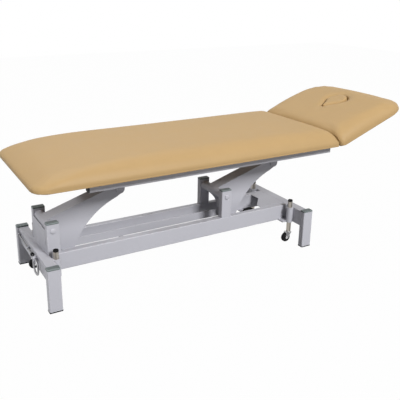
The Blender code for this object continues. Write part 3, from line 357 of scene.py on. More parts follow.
@dataclass(frozen=True)
class Vinyl(Finish):
    """Coated upholstery vinyl: a shallow leather grain and faint cloudy colour."""

    shades: Point = (0.94, 1.05)
    cell_scale: float = 620.0
    cell_randomness: float = 0.9
    cell_levels: Point = (0.0, 0.22)
    pores: Noise = Noise(1700.0, 3.0, 0.6)
    cloud: Noise = Noise(3.4, 4.0, 0.55)
    handled: Noise = Noise(16.0, 5.0, 0.65, (0.45, 0.75))
    soil_shade: float = 0.80
    soil_share: float = 0.16
    groove_shade: float = 0.62
    groove_share: float = 0.10
    uneven: float = 0.12
    polish: float = 0.06
    grain_part: float = 0.75
    gloss: float = 0.28
    ior: float = 1.45
    relief: Point = (0.16, 0.0004)

    def dress(self, graph: Graph) -> None:
        """Lay the vinyl's nodes."""
        pores, cloud, handled = graph.noises(self.pores, self.cloud, self.handled)
        cells = {"Scale": self.cell_scale, "Randomness": self.cell_randomness}
        cells["Vector"] = graph.place()
        edges = graph.node("TexVoronoi", {"feature": "DISTANCE_TO_EDGE"}, cells)
        grain = edges.over(*self.cell_levels)
        tone = graph.tone(cloud, self.colour, self.shades)
        soiled = graph.mix(handled * self.soil_share, tone, shade(self.colour, self.soil_shade))
        groove = shade(self.colour, self.groove_shade)
        colour = graph.mix((1 - grain) * self.groove_share, soiled, groove)
        roughness = self.roughness + cloud.swing(self.uneven) - handled * self.polish
        height = grain * self.grain_part + pores * (1 - self.grain_part)
        self.coat(graph, colour, roughness, height)


@dataclass(frozen=True)
class MouldedPlastic(Finish):
    """Moulded plastic with a spark-eroded texture and edges polished by handling."""

    gloss: float = 0.28
    shades: Point = (0.86, 1.14)
    texture: Noise = Noise(1400.0, 2.0, 0.6)
    cloud: Noise = Noise(24.0, 4.0)
    dust: Noise = Noise(130.0, 4.0, 0.7, (0.56, 0.76))
    pale: float = 2.1
    wear_share: float = 0.22
    dust_share: float = 0.07
    uneven: float = 0.12
    polish: float = 0.10
    relief: Point = (0.20, 0.0004)

    def dress(self, graph: Graph) -> None:
        """Lay the plastic's nodes."""
        texture, cloud, dust = graph.noises(self.texture, self.cloud, self.dust)
        tone = graph.tone(cloud, self.colour, self.shades)
        paling = graph.wear() * self.wear_share + dust * self.dust_share
        colour = graph.mix(paling, tone, shade(self.colour, self.pale))
        roughness = self.roughness + cloud.swing(self.uneven) - graph.wear() * self.polish
        self.coat(graph, colour, roughness, texture)


@dataclass(frozen=True)
class PlatedSteel(Finish):
    """Drawn and zinc-plated steel: fine draw lines along one axis and cloudy plating."""

    drawn: Along = Along.Z
    stain: Colour = (0.36, 0.31, 0.25)
    shades: Point = (0.82, 1.12)
    waves_along: float = 60.0
    waves_across: float = 1500.0
    lines: Noise = Noise(1.0, 3.0, 0.6)
    tarnish: Noise = Noise(48.0, 5.0, 0.6, (0.45, 0.75))
    stain_share: float = 0.35
    line_rough: float = 0.12
    tarnish_rough: float = 0.14
    polish: float = 0.08
    metallic: float = 1.0
    relief: Point = (0.12, 0.0003)

    def dress(self, graph: Graph) -> None:
        """Lay the steel's nodes."""
        across = self.waves_across
        stretch = [self.waves_along if axis is self.drawn else across for axis in Along]
        lines = graph.noise(graph.place(stretch), self.lines)
        tarnish = graph.noise(graph.place(), self.tarnish)
        tone = graph.tone(lines, self.colour, self.shades)
        colour = graph.mix(tarnish * self.stain_share, tone, self.stain)
        roughness = self.roughness + lines * self.line_rough + tarnish * self.tarnish_rough
        self.coat(graph, colour, roughness - self.polish, lines)


@dataclass(frozen=True)
class Rubber(Finish):
    """Black rubber, greyed by dust and scuffed by the floor."""

    dust: Colour = (0.024, 0.0235, 0.0225)
    gloss: float = 0.10
    fine: Noise = Noise(900.0, 3.0, 0.6)
    patch: Noise = Noise(90.0, 5.0, 0.65, (0.42, 0.80))
    dust_share: float = 0.40
    dust_rough: float = 0.16

    def dress(self, graph: Graph) -> None:
        """Lay the rubber's nodes."""
        fine, patch = graph.noises(self.fine, self.patch)
        colour = graph.mix(patch * self.dust_share, self.colour, self.dust)
        roughness = self.roughness + patch * self.dust_rough
        self.coat(graph, colour, roughness, fine)


@dataclass(frozen=True)
class Plywood(Finish):
    """Birch plywood: long grain on its faces and thin dark plies along its edges."""

    turn: float = 0.0
    shades: Point = (0.72, 1.22)
    grain: Noise = Noise(1.0, 6.0, 0.6)
    grain_stretch: Triple = (5.0, 75.0, 75.0)
    figure: Point = (0.3, 0.7)
    fibre: Noise = Noise(1.0, 3.0)
    fibre_stretch: Triple = (60.0, 1300.0, 1300.0)
    fibre_shade: float = 0.80
    fibre_share: float = 0.25
    ply_scale: float = 28.0
    ply_waver: float = 0.4
    ply_shade: float = 0.55
    ply_share: float = 0.22
    uneven: float = 0.16

    def dress(self, graph: Graph) -> None:
        """Lay the wood's nodes."""
        grain = graph.noise(graph.place(self.grain_stretch, self.turn), self.grain)
        fibre = graph.noise(graph.place(self.fibre_stretch, self.turn), self.fibre)
        band = {"Vector": graph.place(turn=self.turn), "Scale": self.ply_scale,
                "Distortion": self.ply_waver}
        saw = {"bands_direction": "Z", "wave_profile": "SAW"}
        ply = graph.node("TexWave", saw, band, "Fac")
        tone = graph.tone(grain.over(*self.figure), self.colour, self.shades)
        layered = graph.mix(ply * self.ply_share, tone, shade(self.colour, self.ply_shade))
        colour = graph.mix(fibre * self.fibre_share, layered, shade(self.colour, self.fibre_shade))
        roughness = self.roughness + grain.swing(self.uneven)
        self.coat(graph, colour, roughness, fibre)


PAINT = PowderCoat("lilac_grey_powder_coat", Slot.POWDER_COAT, (0.50, 0.50, 0.545), 0.40)
CAP = MouldedPlastic("grey_green_cap_plastic", Slot.CAP_PLASTIC, (0.150, 0.175, 0.176), 0.52)
TAN = Vinyl("tan_upholstery_vinyl", Slot.VINYL, (0.450, 0.300, 0.138), 0.54)
BIRCH = Plywood("main_board_birch_ply", Slot.PLYWOOD, (0.46, 0.33, 0.20), 0.66)
ZINC = PlatedSteel("zinc_plated_steel", Slot.ZINC_STEEL, (0.40, 0.37, 0.33), 0.38)
BRIGHT = PlatedSteel("bright_fork_steel", Slot.FORK_STEEL, (0.66, 0.66, 0.66), 0.30,
                     stain=(0.5, 0.49, 0.47))
# The pedal shaft's dark grey is painted shade: it stands for the shadow line along the foot
# crossbeam's outer face.
SHAFT_STEEL_PAINTED_SHADE = PlatedSteel("grey_pedal_shaft_painted_shade", Slot.ZINC_STEEL, (0.24, 0.24, 0.245), 0.42,
                          drawn=Along.Y, stain=(0.15, 0.14, 0.13))
LOOP_STEEL = PlatedSteel("pale_pedal_steel", Slot.ZINC_STEEL, (0.36, 0.36, 0.375), 0.46,
                         drawn=Along.Y, stain=(0.28, 0.27, 0.26))
TYRE = Rubber("black_caster_rubber", Slot.BLACK_RUBBER, (0.010, 0.010, 0.0105), 0.62)
BLACK = MouldedPlastic("black_moulded_plastic", Slot.DARK_PLASTIC, (0.0075, 0.0077, 0.0082), 0.50,
                       gloss=0.05)


def joint_place(name: str) -> Vector:
    """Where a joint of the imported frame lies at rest."""
    return Vector(next(joint for joint in frame["joints"] if joint["name"] == name)["pos_m"])


def link(name: str, data: Any) -> bpy.types.Object:
    """A new object in the scene.

    Args:
        name: Its name.
        data: Its mesh, light or camera.

    Returns:
        The object.
    """
    made = bpy.data.objects.new(name, data)
    bpy.context.scene.collection.objects.link(made)
    return made


def mirrored(half: Sequence[Point]) -> list[Point]:
    """A lathe profile from its upper half, which runs from the middle up."""
    return [(radius, -height) for radius, height in reversed(half) if height] + list(half)


def closed(profile: list[Point]) -> list[Point]:
    """A lathe profile that ends where it starts, as a ring's does."""
    return profile + profile[:1]


def runs(along: Along) -> EdgeTest:
    """A test for edges that run along an axis.

    Args:
        along: The axis.

    Returns:
        The test.
    """
    least = 0.9

    def test(edge: bmesh.types.BMEdge) -> bool:
        """Whether an edge runs that way."""
        run = edge.verts[1].co - edge.verts[0].co
        return abs(run.normalized()[along.value]) > least

    return test


def above(height: float) -> EdgeTest:
    """A test for edges that lie above a height."""
    return lambda edge: min(v.co.z for v in edge.verts) > height


class Blank:
    """A piece of stock on the bench, with the operators that shape it."""

    turn_merge = 1e-6
    copy_merge = 2e-5
    flat = math.radians(0.8)

    def __init__(self) -> None:
        """Start with nothing on the bench."""
        self.bm = bmesh.new()

    @classmethod
    def block(cls, low: Vector, high: Vector) -> "Blank":
        """A block between its lowest and its highest corner.

        Args:
            low: The lowest corner.
            high: The highest corner.

        Returns:
            The block.
        """
        made = cls()
        bmesh.ops.create_cube(made.bm, size=1.0)
        bmesh.ops.scale(made.bm, vec=high - low, verts=made.bm.verts)
        return made.shift((high + low) / 2)

    @classmethod
    def tube(cls, low: Vector, high: Vector, along: Along) -> "Blank":
        """A block with its edges along one axis rounded as a box tube's are."""
        return cls.block(low, high).round(TUBE_ROUND, 4, runs(along))

    @classmethod
    def turned(cls, profile: Sequence[Point], place: Vector, along: Along = Along.Z,
               steps: int = 36) -> "Blank":
        """A piece turned on a lathe.

        Args:
            profile: (radius, height) points up the axis.
            place: Where height 0 lies.
            along: The axis it is turned about.
            steps: How many faces go round.

        Returns:
            The turned piece.
        """
        made = cls()
        verts = [made.bm.verts.new((radius, 0.0, height)) for radius, height in profile]
        edges = [made.bm.edges.new(pair) for pair in zip(verts, verts[1:])]
        bmesh.ops.spin(
            made.bm, geom=verts + edges, cent=(0, 0, 0), axis=(0, 0, 1),
            angle=2 * math.pi, steps=steps, use_merge=True,
        )
        bmesh.ops.remove_doubles(made.bm, verts=made.bm.verts, dist=cls.turn_merge)
        turn = Vector((0, 0, 1)).rotation_difference(along.vector).to_matrix().to_4x4()
        made.apply(Matrix.Translation(place) @ turn)
        bmesh.ops.recalc_face_normals(made.bm, faces=made.bm.faces)
        return made

    @classmethod
    def copy_of(cls, node: str) -> "Blank":
        """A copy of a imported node, with its loose triangles merged into flat faces.

        Args:
            node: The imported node.

        Returns:
            The copy.
        """
        made = cls()
        made.bm.from_mesh(frame["nodes"][node].data)
        bmesh.ops.remove_doubles(made.bm, verts=made.bm.verts, dist=cls.copy_merge)
        bmesh.ops.dissolve_limit(
            made.bm, angle_limit=cls.flat, verts=made.bm.verts, edges=made.bm.edges,
        )
        return made

    def shift(self, by: Vector) -> "Blank":
        """Move the piece."""
        bmesh.ops.translate(self.bm, vec=by, verts=self.bm.verts)
        return self

    def apply(self, matrix: Matrix) -> "Blank":
        """Move and turn the piece by a matrix."""
        bmesh.ops.transform(self.bm, matrix=matrix, verts=self.bm.verts)
        return self

    def mesh(self, name: str) -> bpy.types.Mesh:
        """The piece as a mesh, which clears the bench.

        Args:
            name: The mesh's name.

        Returns:
            The mesh.
        """
        made = bpy.data.meshes.new(name)
        self.bm.to_mesh(made)
        self.bm.free()
        return made

    def add(self, other: "Blank") -> "Blank":
        """Lay another piece beside this one, in one mesh.

        Args:
            other: The other piece, which is used up.

        Returns:
            The same piece.
        """
        spare = other.mesh("spare")
        self.bm.from_mesh(spare)
        bpy.data.meshes.remove(spare)
        return self

    def round(self, radius: float, segments: int = 3, chosen: EdgeTest | None = None,
              turn: float = 32.0) -> "Blank":
        """Round the outer edges.

        Args:
            radius: How far each edge is drawn back.
            segments: How many faces go over an edge.
            chosen: Which edges are rounded, or None for all.
            turn: The least angle of an edge, in degrees.

        Returns:
            The same piece.
        """
        layers = self.bm.faces.layers.float
        wear = layers.get(WEAR_LAYER) or layers.new(WEAR_LAYER)
        edges = [
            edge for edge in self.bm.edges
            if edge.is_manifold and edge.is_convex
            and edge.calc_face_angle(0.0) > math.radians(turn)
            and (chosen is None or chosen(edge))
        ]
        made = bmesh.ops.bevel(
            self.bm, geom=edges, offset=radius, segments=segments, profile=0.5,
            affect="EDGES", clamp_overlap=True, material=-1,
        )
        for face in made["faces"]:
            face[wear] = 1.0
        return self

    def piece(self, name: str, finish: Finish, body: str, stands_for: Sequence[str] = (),
              crease: float = 38.0) -> bpy.types.Object:
        """Turn the stock into a finished piece that rides on a body.

        Args:
            name: The piece's name.
            finish: Its finish.
            body: The body it moves with.
            stands_for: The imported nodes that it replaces.
            crease: Edges sharper than this, in degrees, stay crisp.

        Returns:
            The piece.
        """
        for face in self.bm.faces:
            face.material_index = 0
            face.smooth = True
        mesh = self.mesh(name)
        mesh.materials.clear()
        mesh.materials.append(finish.material())
        mesh.set_sharp_from_angle(angle=math.radians(crease))
        made = link(name, mesh)
        made.modifiers.new("weighted_normals", "WEIGHTED_NORMAL").keep_sharp = True
        return settle(made, body, stands_for)

    def stand_in(self, node: str, finish: Finish, **looks: float) -> bpy.types.Object:
        """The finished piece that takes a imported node's place on its body."""
        return self.piece("shown_" + node, finish, frame["nodes"][node]["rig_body"], [node], **looks)


def settle(
    made: bpy.types.Object, body: str, stands_for: Sequence[str]
) -> bpy.types.Object:
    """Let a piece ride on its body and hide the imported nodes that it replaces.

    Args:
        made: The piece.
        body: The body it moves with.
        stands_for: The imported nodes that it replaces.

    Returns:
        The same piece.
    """
    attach(made, body)
    if stands_for:
        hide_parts(*stands_for)
    LOG.info("%s rides on %s, %d faces", made.name, body, len(made.data.polygons))
    return made


@dataclass
class BaseFrame:
    """The welded base: legs, rails, posts, caps, soles, axles and the control box."""

    cap_round: float = 0.0034
    sole_height: float = 0.005
    sole_proud: float = 0.0009
    sole_round: float = 0.0007
    dome_radius: float = 0.0135
    dome_height: float = 0.0060
    dome_rim: float = 0.0012
    shaft_radius: float = 0.0098
    case_round: float = 0.0040
    seam_share: float = 0.72
    seam_gap: float = 0.0006
    neck_inset: float = 0.0012
    neck_drop: float = 0.004
    knob_x: float = 0.020
    knob_y: float = -0.012
    knob: tuple[Point, ...] = (
        (0.0, 0.0), (0.009775, 0.0), (0.009775, 0.003), (0.00765, 0.005),
        (0.007225, 0.014), (0.00595, 0.016), (0.0, 0.016),
    )
    gland_spread: float = 0.013
    gland_drop: float = 0.006
    gland: tuple[Point, ...] = (
        (0.0, 0.0), (0.0075, 0.0), (0.0075, 0.006), (0.0058, 0.0075), (0.0058, 0.013), (0.0, 0.013),
    )

    def build(self) -> None:
        """Make every piece of the base."""
        for side in SIDES:
            self.tube(f"base_rail_{side}", Along.X)
        for place in PLACES:
            self.tube(f"leg_{place}", Along.Z)
            self.tube(f"post_{place}", Along.Z)
            self.cap(f"leg_cap_{place}")
            self.cap(f"post_cap_{place}")
            self.sole(place)
        for end in ENDS:
            self.axle(f"{end}_arm_axle")
        self.control_box()

    def tube(self, node: str, along: Along) -> None:
        """A box tube in a node's place."""
        Blank.tube(*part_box(node), along).stand_in(node, PAINT)

    def cap(self, node: str) -> None:
        """A plastic cap with a soft upper rim, let into the end of its tube.

        Args:
            node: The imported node.
        """
        low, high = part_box(node)
        rim = above(high.z - 1e-5)
        Blank.tube(low, high, Along.Z).round(self.cap_round, 4, rim).stand_in(node, CAP)

    def sole(self, place: str) -> None:
        """A plastic sole under a leg, a little proud of the tube.

        Args:
            place: The leg's corner of the base.
        """
        low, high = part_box(f"leg_{place}")
        grow = Vector((self.sole_proud, self.sole_proud, 0.0))
        top = Vector((high.x, high.y, low.z + self.sole_height))
        blank = Blank.tube(low - grow, top + grow, Along.Z)
        blank.round(self.sole_round, 2).piece(f"sole_{place}", BLACK, "base")

    def axle(self, node: str) -> None:
        """A through bolt with a domed head at each end.

        Args:
            node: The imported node.
        """
        low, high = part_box(node)
        face = (high.y - low.y) / 2 - self.dome_height
        rim = face + self.dome_rim
        rise = self.dome_height - self.dome_rim
        turns = [math.radians(angle) for angle in range(0, 91, 15)]
        dome = [(self.dome_radius * math.cos(a), rim + rise * math.sin(a)) for a in turns]
        half = [(self.shaft_radius, face), (self.dome_radius, face)] + dome
        Blank.turned(mirrored(half), (low + high) / 2, Along.Y).stand_in(node, PAINT)

    def control_box(self) -> None:
        """The control box: a lidded case with a knob and two cable glands."""
        low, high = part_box("control_box")
        middle = (low + high) / 2
        seam = low.z + self.seam_share * (high.z - low.z)
        inset = Vector((self.neck_inset, self.neck_inset, 0.0))
        case = Blank.block(low, Vector((high.x, high.y, seam - self.seam_gap)))
        neck = Blank.block(low + inset, Vector((high.x, high.y, high.z - self.neck_drop)) - inset)
        lid = Blank.block(Vector((low.x, low.y, seam + self.seam_gap)), high)
        whole = case.round(self.case_round).add(neck).add(lid.round(self.case_round))
        whole.stand_in("control_box", BLACK)
        place = Vector((low.x + self.knob_x, middle.y + self.knob_y, high.z - LET_IN))
        Blank.turned(self.knob, place).piece("control_box_knob", BLACK, "base")
        for end, shift in zip(ENDS, (-self.gland_spread, self.gland_spread)):
            place = Vector((middle.x + shift, high.y - LET_IN, middle.z - self.gland_drop))
            Blank.turned(self.gland, place, Along.Y, 24).piece(f"cable_gland_{end}", BLACK, "base")


@dataclass
class Casters:
    """Four swivel casters on sliding stems.

    The cup's rim, the tread and the hub's rim are drawn from the outer corner of their section.
    The boss is drawn by its radii and its depths below the tyre's side.
    """

    stem_radius: float = 0.0125
    stem_edge: float = 0.001
    pin_radius: float = 0.005
    pin_length: float = 0.006
    cup_height: float = 0.0095
    cup_proud: float = 0.0004
    cup_gap: float = 0.0002
    cup_edge: float = 0.0008
    cup_rim: tuple[Point, ...] = (
        (0.0, -0.0012), (-0.0012, 0.0), (-0.0034, 0.0), (-0.0042, -0.001), (-0.0046, -0.009),
    )
    tyre_radius: float = 0.0265
    tyre_width: float = 0.019
    tyre_steps: int = 48
    tyre_lip: Point = (0.002, 0.0012)
    tread: tuple[Point, ...] = ((-0.0004, -0.0045), (-0.0018, -0.0016), (-0.0050, 0.0))
    hub_radius: float = 0.0115
    hub_steps: int = 40
    hub_rim: tuple[Point, ...] = ((0.0002, -0.0016), (-0.001, -0.0026))
    boss: tuple[Point, ...] = ((0.0080, 0.0026), (0.0070, 0.0002), (0.0045, 0.0002))

    def build(self) -> None:
        """Make the stem and the wheel of each caster."""
        for place in PLACES:
            self.stem(place)
            self.wheel(place)

    def stem(self, place: str) -> None:
        """A plated stem with a black rubber cup on its top.

        Args:
            place: The caster's corner of the base.
        """
        node = f"caster_stem_{place}"
        low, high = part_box(node)
        centre = Vector(((low.x + high.x) / 2, (low.y + high.y) / 2, 0.0))
        radius, edge = self.stem_radius, self.stem_edge
        shoulder = low.z + self.pin_length
        top = high.z - self.cup_height
        shaft = [
            (0.0, low.z), (self.pin_radius, low.z), (self.pin_radius, shoulder),
            (radius - edge, shoulder), (radius, shoulder + edge), (radius, top), (0.0, top),
        ]
        Blank.turned(shaft, centre).stand_in(node, ZINC)
        rim = radius + self.cup_proud
        seat = top + self.cup_gap
        cup = [(0.0, seat), (rim - self.cup_edge, seat), (rim, seat + self.cup_edge)]
        cup += [(rim + out, high.z + up) for out, up in self.cup_rim]
        cup.append((0.0, cup[-1][1]))
        Blank.turned(cup, centre).piece(f"stem_cup_{place}", TYRE, f"stem_{place}")

    def wheel(self, place: str) -> None:
        """A rubber-tyred wheel with a dished black hub.

        Args:
            place: The caster's corner of the base.
        """
        node = f"caster_wheel_{place}"
        low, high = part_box(node)
        centre = (low + high) / 2
        side = self.tyre_width / 2
        outer, hub = self.tyre_radius, self.hub_radius
        out, back = self.tyre_lip
        tyre = [(outer, 0.0)] + [(outer + r, side + h) for r, h in self.tread]
        tyre += [(hub + out, side), (hub, side - back)]
        section = closed(mirrored(tyre))
        Blank.turned(section, centre, Along.Y, self.tyre_steps).stand_in(node, TYRE)
        dish = [(hub + r, side + h) for r, h in self.hub_rim]
        dish += [(radius, side - depth) for radius, depth in self.boss]
        blank = Blank.turned(closed(mirrored(dish)), centre, Along.Y, self.hub_steps)
        blank.piece(f"wheel_hub_{place}", BLACK, f"wheel_{place}")


@dataclass
class CasterPedal:
    """The loop on the foot crossbeam that lowers the casters, and the shaft that turns with it."""

    rounding_loss: float = 0.0003
    loop_crease: float = 60.0
    loop_levels: int = 2
    shaft_radius: float = 0.0042
    shaft_end: float = 0.236
    shaft_overlap: float = 0.004
    collar_radius: float = 0.0085
    collar_length: float = 0.013
    collar_start: float = 0.003
    end_edge: float = 0.15
    hanger_places: tuple[float, ...] = (0.050, 0.222)
    hanger_width: float = 0.006
    hanger_wall: float = 0.0030
    hanger_edge: float = 0.0006
    hanger_foot: float = 0.006
    foot_round: float = 0.0008
    play: float = 0.0005
    beam_gap: float = 0.0133

    def build(self) -> None:
        """Make the loop, its shaft along the beam, the collar between them and the hangers."""
        blank = Blank.copy_of("caster_pedal")
        blank.bm.normal_update()
        for vertex in blank.bm.verts:
            vertex.co += vertex.normal * self.rounding_loss
        loop = blank.stand_in("caster_pedal", LOOP_STEEL, crease=self.loop_crease)
        rounded = loop.modifiers.new("rounded", "SUBSURF")
        rounded.levels = self.loop_levels
        rounded.render_levels = self.loop_levels
        axis = joint_place("pedal_swing")
        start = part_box("caster_pedal")[1].y - self.shaft_overlap
        collar = start + self.collar_start
        # The shaft's dark grey steel is painted shade for the shadow line along the beam.
        self.rod("pedal_shaft", SHAFT_STEEL_PAINTED_SHADE, axis, (start, self.shaft_end), self.shaft_radius)
        ends = (collar, collar + self.collar_length)
        self.rod("pedal_collar", BLACK, axis, ends, self.collar_radius)
        for number, y in enumerate(self.hanger_places):
            self.hanger(f"pedal_hanger_{number}", Vector((axis.x, y, axis.z)))

    def rod(self, name: str, finish: Finish, axis: Vector, ends: Point, radius: float) -> None:
        """A turned length of rod on the pedal's axis, with its ends broken.

        Args:
            name: The rod's name.
            finish: Its finish.
            axis: A point of the pedal's axis.
            ends: Where it starts and stops along the axis.
            radius: Its radius.
        """
        start, stop = ends
        edge = self.end_edge * radius
        profile = [
            (0.0, start), (radius - edge, start), (radius, start + edge),
            (radius, stop - edge), (radius - edge, stop), (0.0, stop),
        ]
        blank = Blank.turned(profile, Vector((axis.x, 0.0, axis.z)), Along.Y, 24)
        blank.piece(name, finish, "caster_pedal")

    def hanger(self, name: str, place: Vector) -> None:
        """A ring round the shaft on a short foot that stands on the beam's outer face.

        Args:
            name: The hanger's name.
            place: The middle of its ring.
        """
        bore = self.shaft_radius + self.play
        outer = bore + self.hanger_wall
        half, edge, foot = self.hanger_width / 2, self.hanger_edge, self.hanger_foot
        section = [(outer, half - edge), (outer - edge, half), (bore, half)]
        ring = Blank.turned(closed(mirrored(section)), place, Along.Y, 28)
        low = place + Vector((bore + LET_IN, -half, -foot))
        high = place + Vector((self.beam_gap, half, foot))
        ring.add(Blank.block(low, high).round(self.foot_round, 2)).piece(name, PAINT, "base")


@dataclass
class TopRails:
    """The rails under the main pad, with black plugs in their ends."""

    plug_depth: float = 0.0035
    plug_round: float = 0.0010

    def build(self) -> None:
        """Make the rails and their plugs."""
        for side in SIDES:
            node = f"top_rail_{side}"
            Blank.tube(*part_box(node), Along.X).stand_in(node, PAINT)
            self.end_plugs(node, side)

    def end_plugs(self, node: str, side: str) -> None:
        """Black plugs in both ends of a top rail.

        Args:
            node: The rail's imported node.
            side: The rail's side.
        """
        low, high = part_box(node)
        deep = Vector((self.plug_depth, 0.0, 0.0))
        corners = ((low - deep, Vector((low.x, high.y, high.z))),
                   (Vector((high.x, low.y, low.z)), high + deep))
        for end, (first, second) in zip(ENDS, corners):
            blank = Blank.tube(first, second, Along.X).round(self.plug_round, 2)
            blank.piece(f"rail_plug_{end}_{side}", BLACK, "top_frame")


@dataclass
class NeckHinge:
    """Where the head section turns on the top frame, and how far it is tilted at rest."""

    tilt: float = math.radians(20.6)
    board_low: float = 0.0037
    board_top: float = 0.0137
    seat_gap: float = 0.0003

    def origin(self) -> Vector:
        """The middle of the hinge line."""
        return joint_place("head_tilt")

    def matrix(self) -> Matrix:
        """From the flat head section about its hinge to the part's frame."""
        return Matrix.Translation(self.origin()) @ Matrix.Rotation(-self.tilt, 4, "Y")


NECK_HINGE = NeckHinge()


@dataclass(frozen=True)
class Softened:
    """Nodes that are shown in their own shape, with their outer edges broken by a radius."""

    finish: Finish
    radius: float
    nodes: tuple[str, ...]
    segments: int = 2

    def build(self) -> None:
        """Make a piece for each node."""
        for node in self.nodes:
            Blank.copy_of(node).round(self.radius, self.segments).stand_in(node, self.finish)


HEAD_BIRCH = replace(BIRCH, name="head_board_birch_ply", turn=NECK_HINGE.tilt)
SOFTENED = (
    Softened(PAINT, 0.0016, ("foot_crossbeam", "head_crossbeam")),
    Softened(PAINT, 0.0016, ("foot_arm_carrier", "head_arm_carrier")),
    Softened(PAINT, 0.0009, ("head_deck_plate", "control_box_strap")),
    Softened(PAINT, 0.0018, ("foot_arm", "head_arm", "head_bar_left", "head_bar_right")),
    Softened(PAINT, 0.0036, ("tie_bar_left", "tie_bar_right"), 4),
    Softened(PAINT, 0.0010, ("actuator_mount",)),
    Softened(BLACK, 0.0022, ("actuator_body",)),
    Softened(BRIGHT, 0.0006, ("actuator_rod",)),
    Softened(BRIGHT, 0.0007, tuple(f"caster_fork_{place}" for place in PLACES)),
    Softened(PAINT, 0.0020, ("top_crossbar_foot",), 3),
    Softened(PAINT, 0.0012, ("top_crossbar_head",)),
    Softened(PAINT, 0.0004, ("foot_arm_top_pin", "head_arm_top_pin")),
    Softened(BIRCH, 0.0012, ("main_board",)),
    Softened(HEAD_BIRCH, 0.0010, ("head_board",)),
)


@dataclass
class Teardrop:
    """The outline of the nose hole, measured from the head hinge along the cushion."""

    point: float = 0.214
    centre: float = 0.325
    radius: float = 0.062
    tip_radius: float = 0.006
    least_tip: float = 0.0015
    flat: float = math.radians(0.5)

    @property
    def stop(self) -> float:
        """How far the outline reaches."""
        return self.centre + self.radius

    def prism(self, grow: float, low: float, high: float) -> Blank:
        """An upright prism of the outline.

        Args:
            grow: How much larger it is all round.
            low: The height of its underside.
            high: The height of its top.

        Returns:
            The prism.
        """
        bm = (made := Blank()).bm
        tip = (self.point + self.tip_radius, max(self.tip_radius + grow, self.least_tip), 24)
        for height in (low, high):
            for x, radius, steps in ((self.centre, self.radius + grow, 64), tip):
                place = Matrix.Translation((x, 0.0, height))
                bmesh.ops.create_circle(bm, segments=steps, radius=radius, matrix=place)
        bmesh.ops.delete(bm, geom=bm.edges[:], context="EDGES_FACES")
        hull = bmesh.ops.convex_hull(bm, input=bm.verts[:])
        inside = [item for item in hull["geom_interior"] if isinstance(item, bmesh.types.BMVert)]
        bmesh.ops.delete(bm, geom=inside, context="VERTS")
        bmesh.ops.dissolve_limit(bm, angle_limit=self.flat, verts=bm.verts, edges=bm.edges)
        bmesh.ops.recalc_face_normals(bm, faces=bm.faces)
        return made


@dataclass
class Swelling:
    """How a cushion's cover is drawn over its foam by a short cloth run, and calmed after it."""

    voxel: float = 0.006
    smoothing: int = 8
    shrink: float = 0.0022
    limit: float = 0.0045
    calm: int = 0
    frames: int = 20
    pressure: float = 4.0
    quality: int = 4
    held_layer: float = 0.6
    calm_from: float = 0.3


@dataclass(frozen=True)
class CushionEnd:
    """A cushion's end: its corners, its share of the sides' inset, and how far it leans back."""

    corner: float
    share: float
    lean: float = 0.0

    def inset(self, side: float, rise: float) -> float:
        """How far in the end lies where the sides lie in by an amount, at a height."""
        return side * self.share + rise * self.lean if rise else side


FOOT_END = CushionEnd(0.070, 5.5)
HEAD_END = CushionEnd(0.110, 2.6)
MAIN_JOINT_END = CushionEnd(0.026, 0.34, 0.26)
HEAD_JOINT_END = CushionEnd(0.030, 0.52)


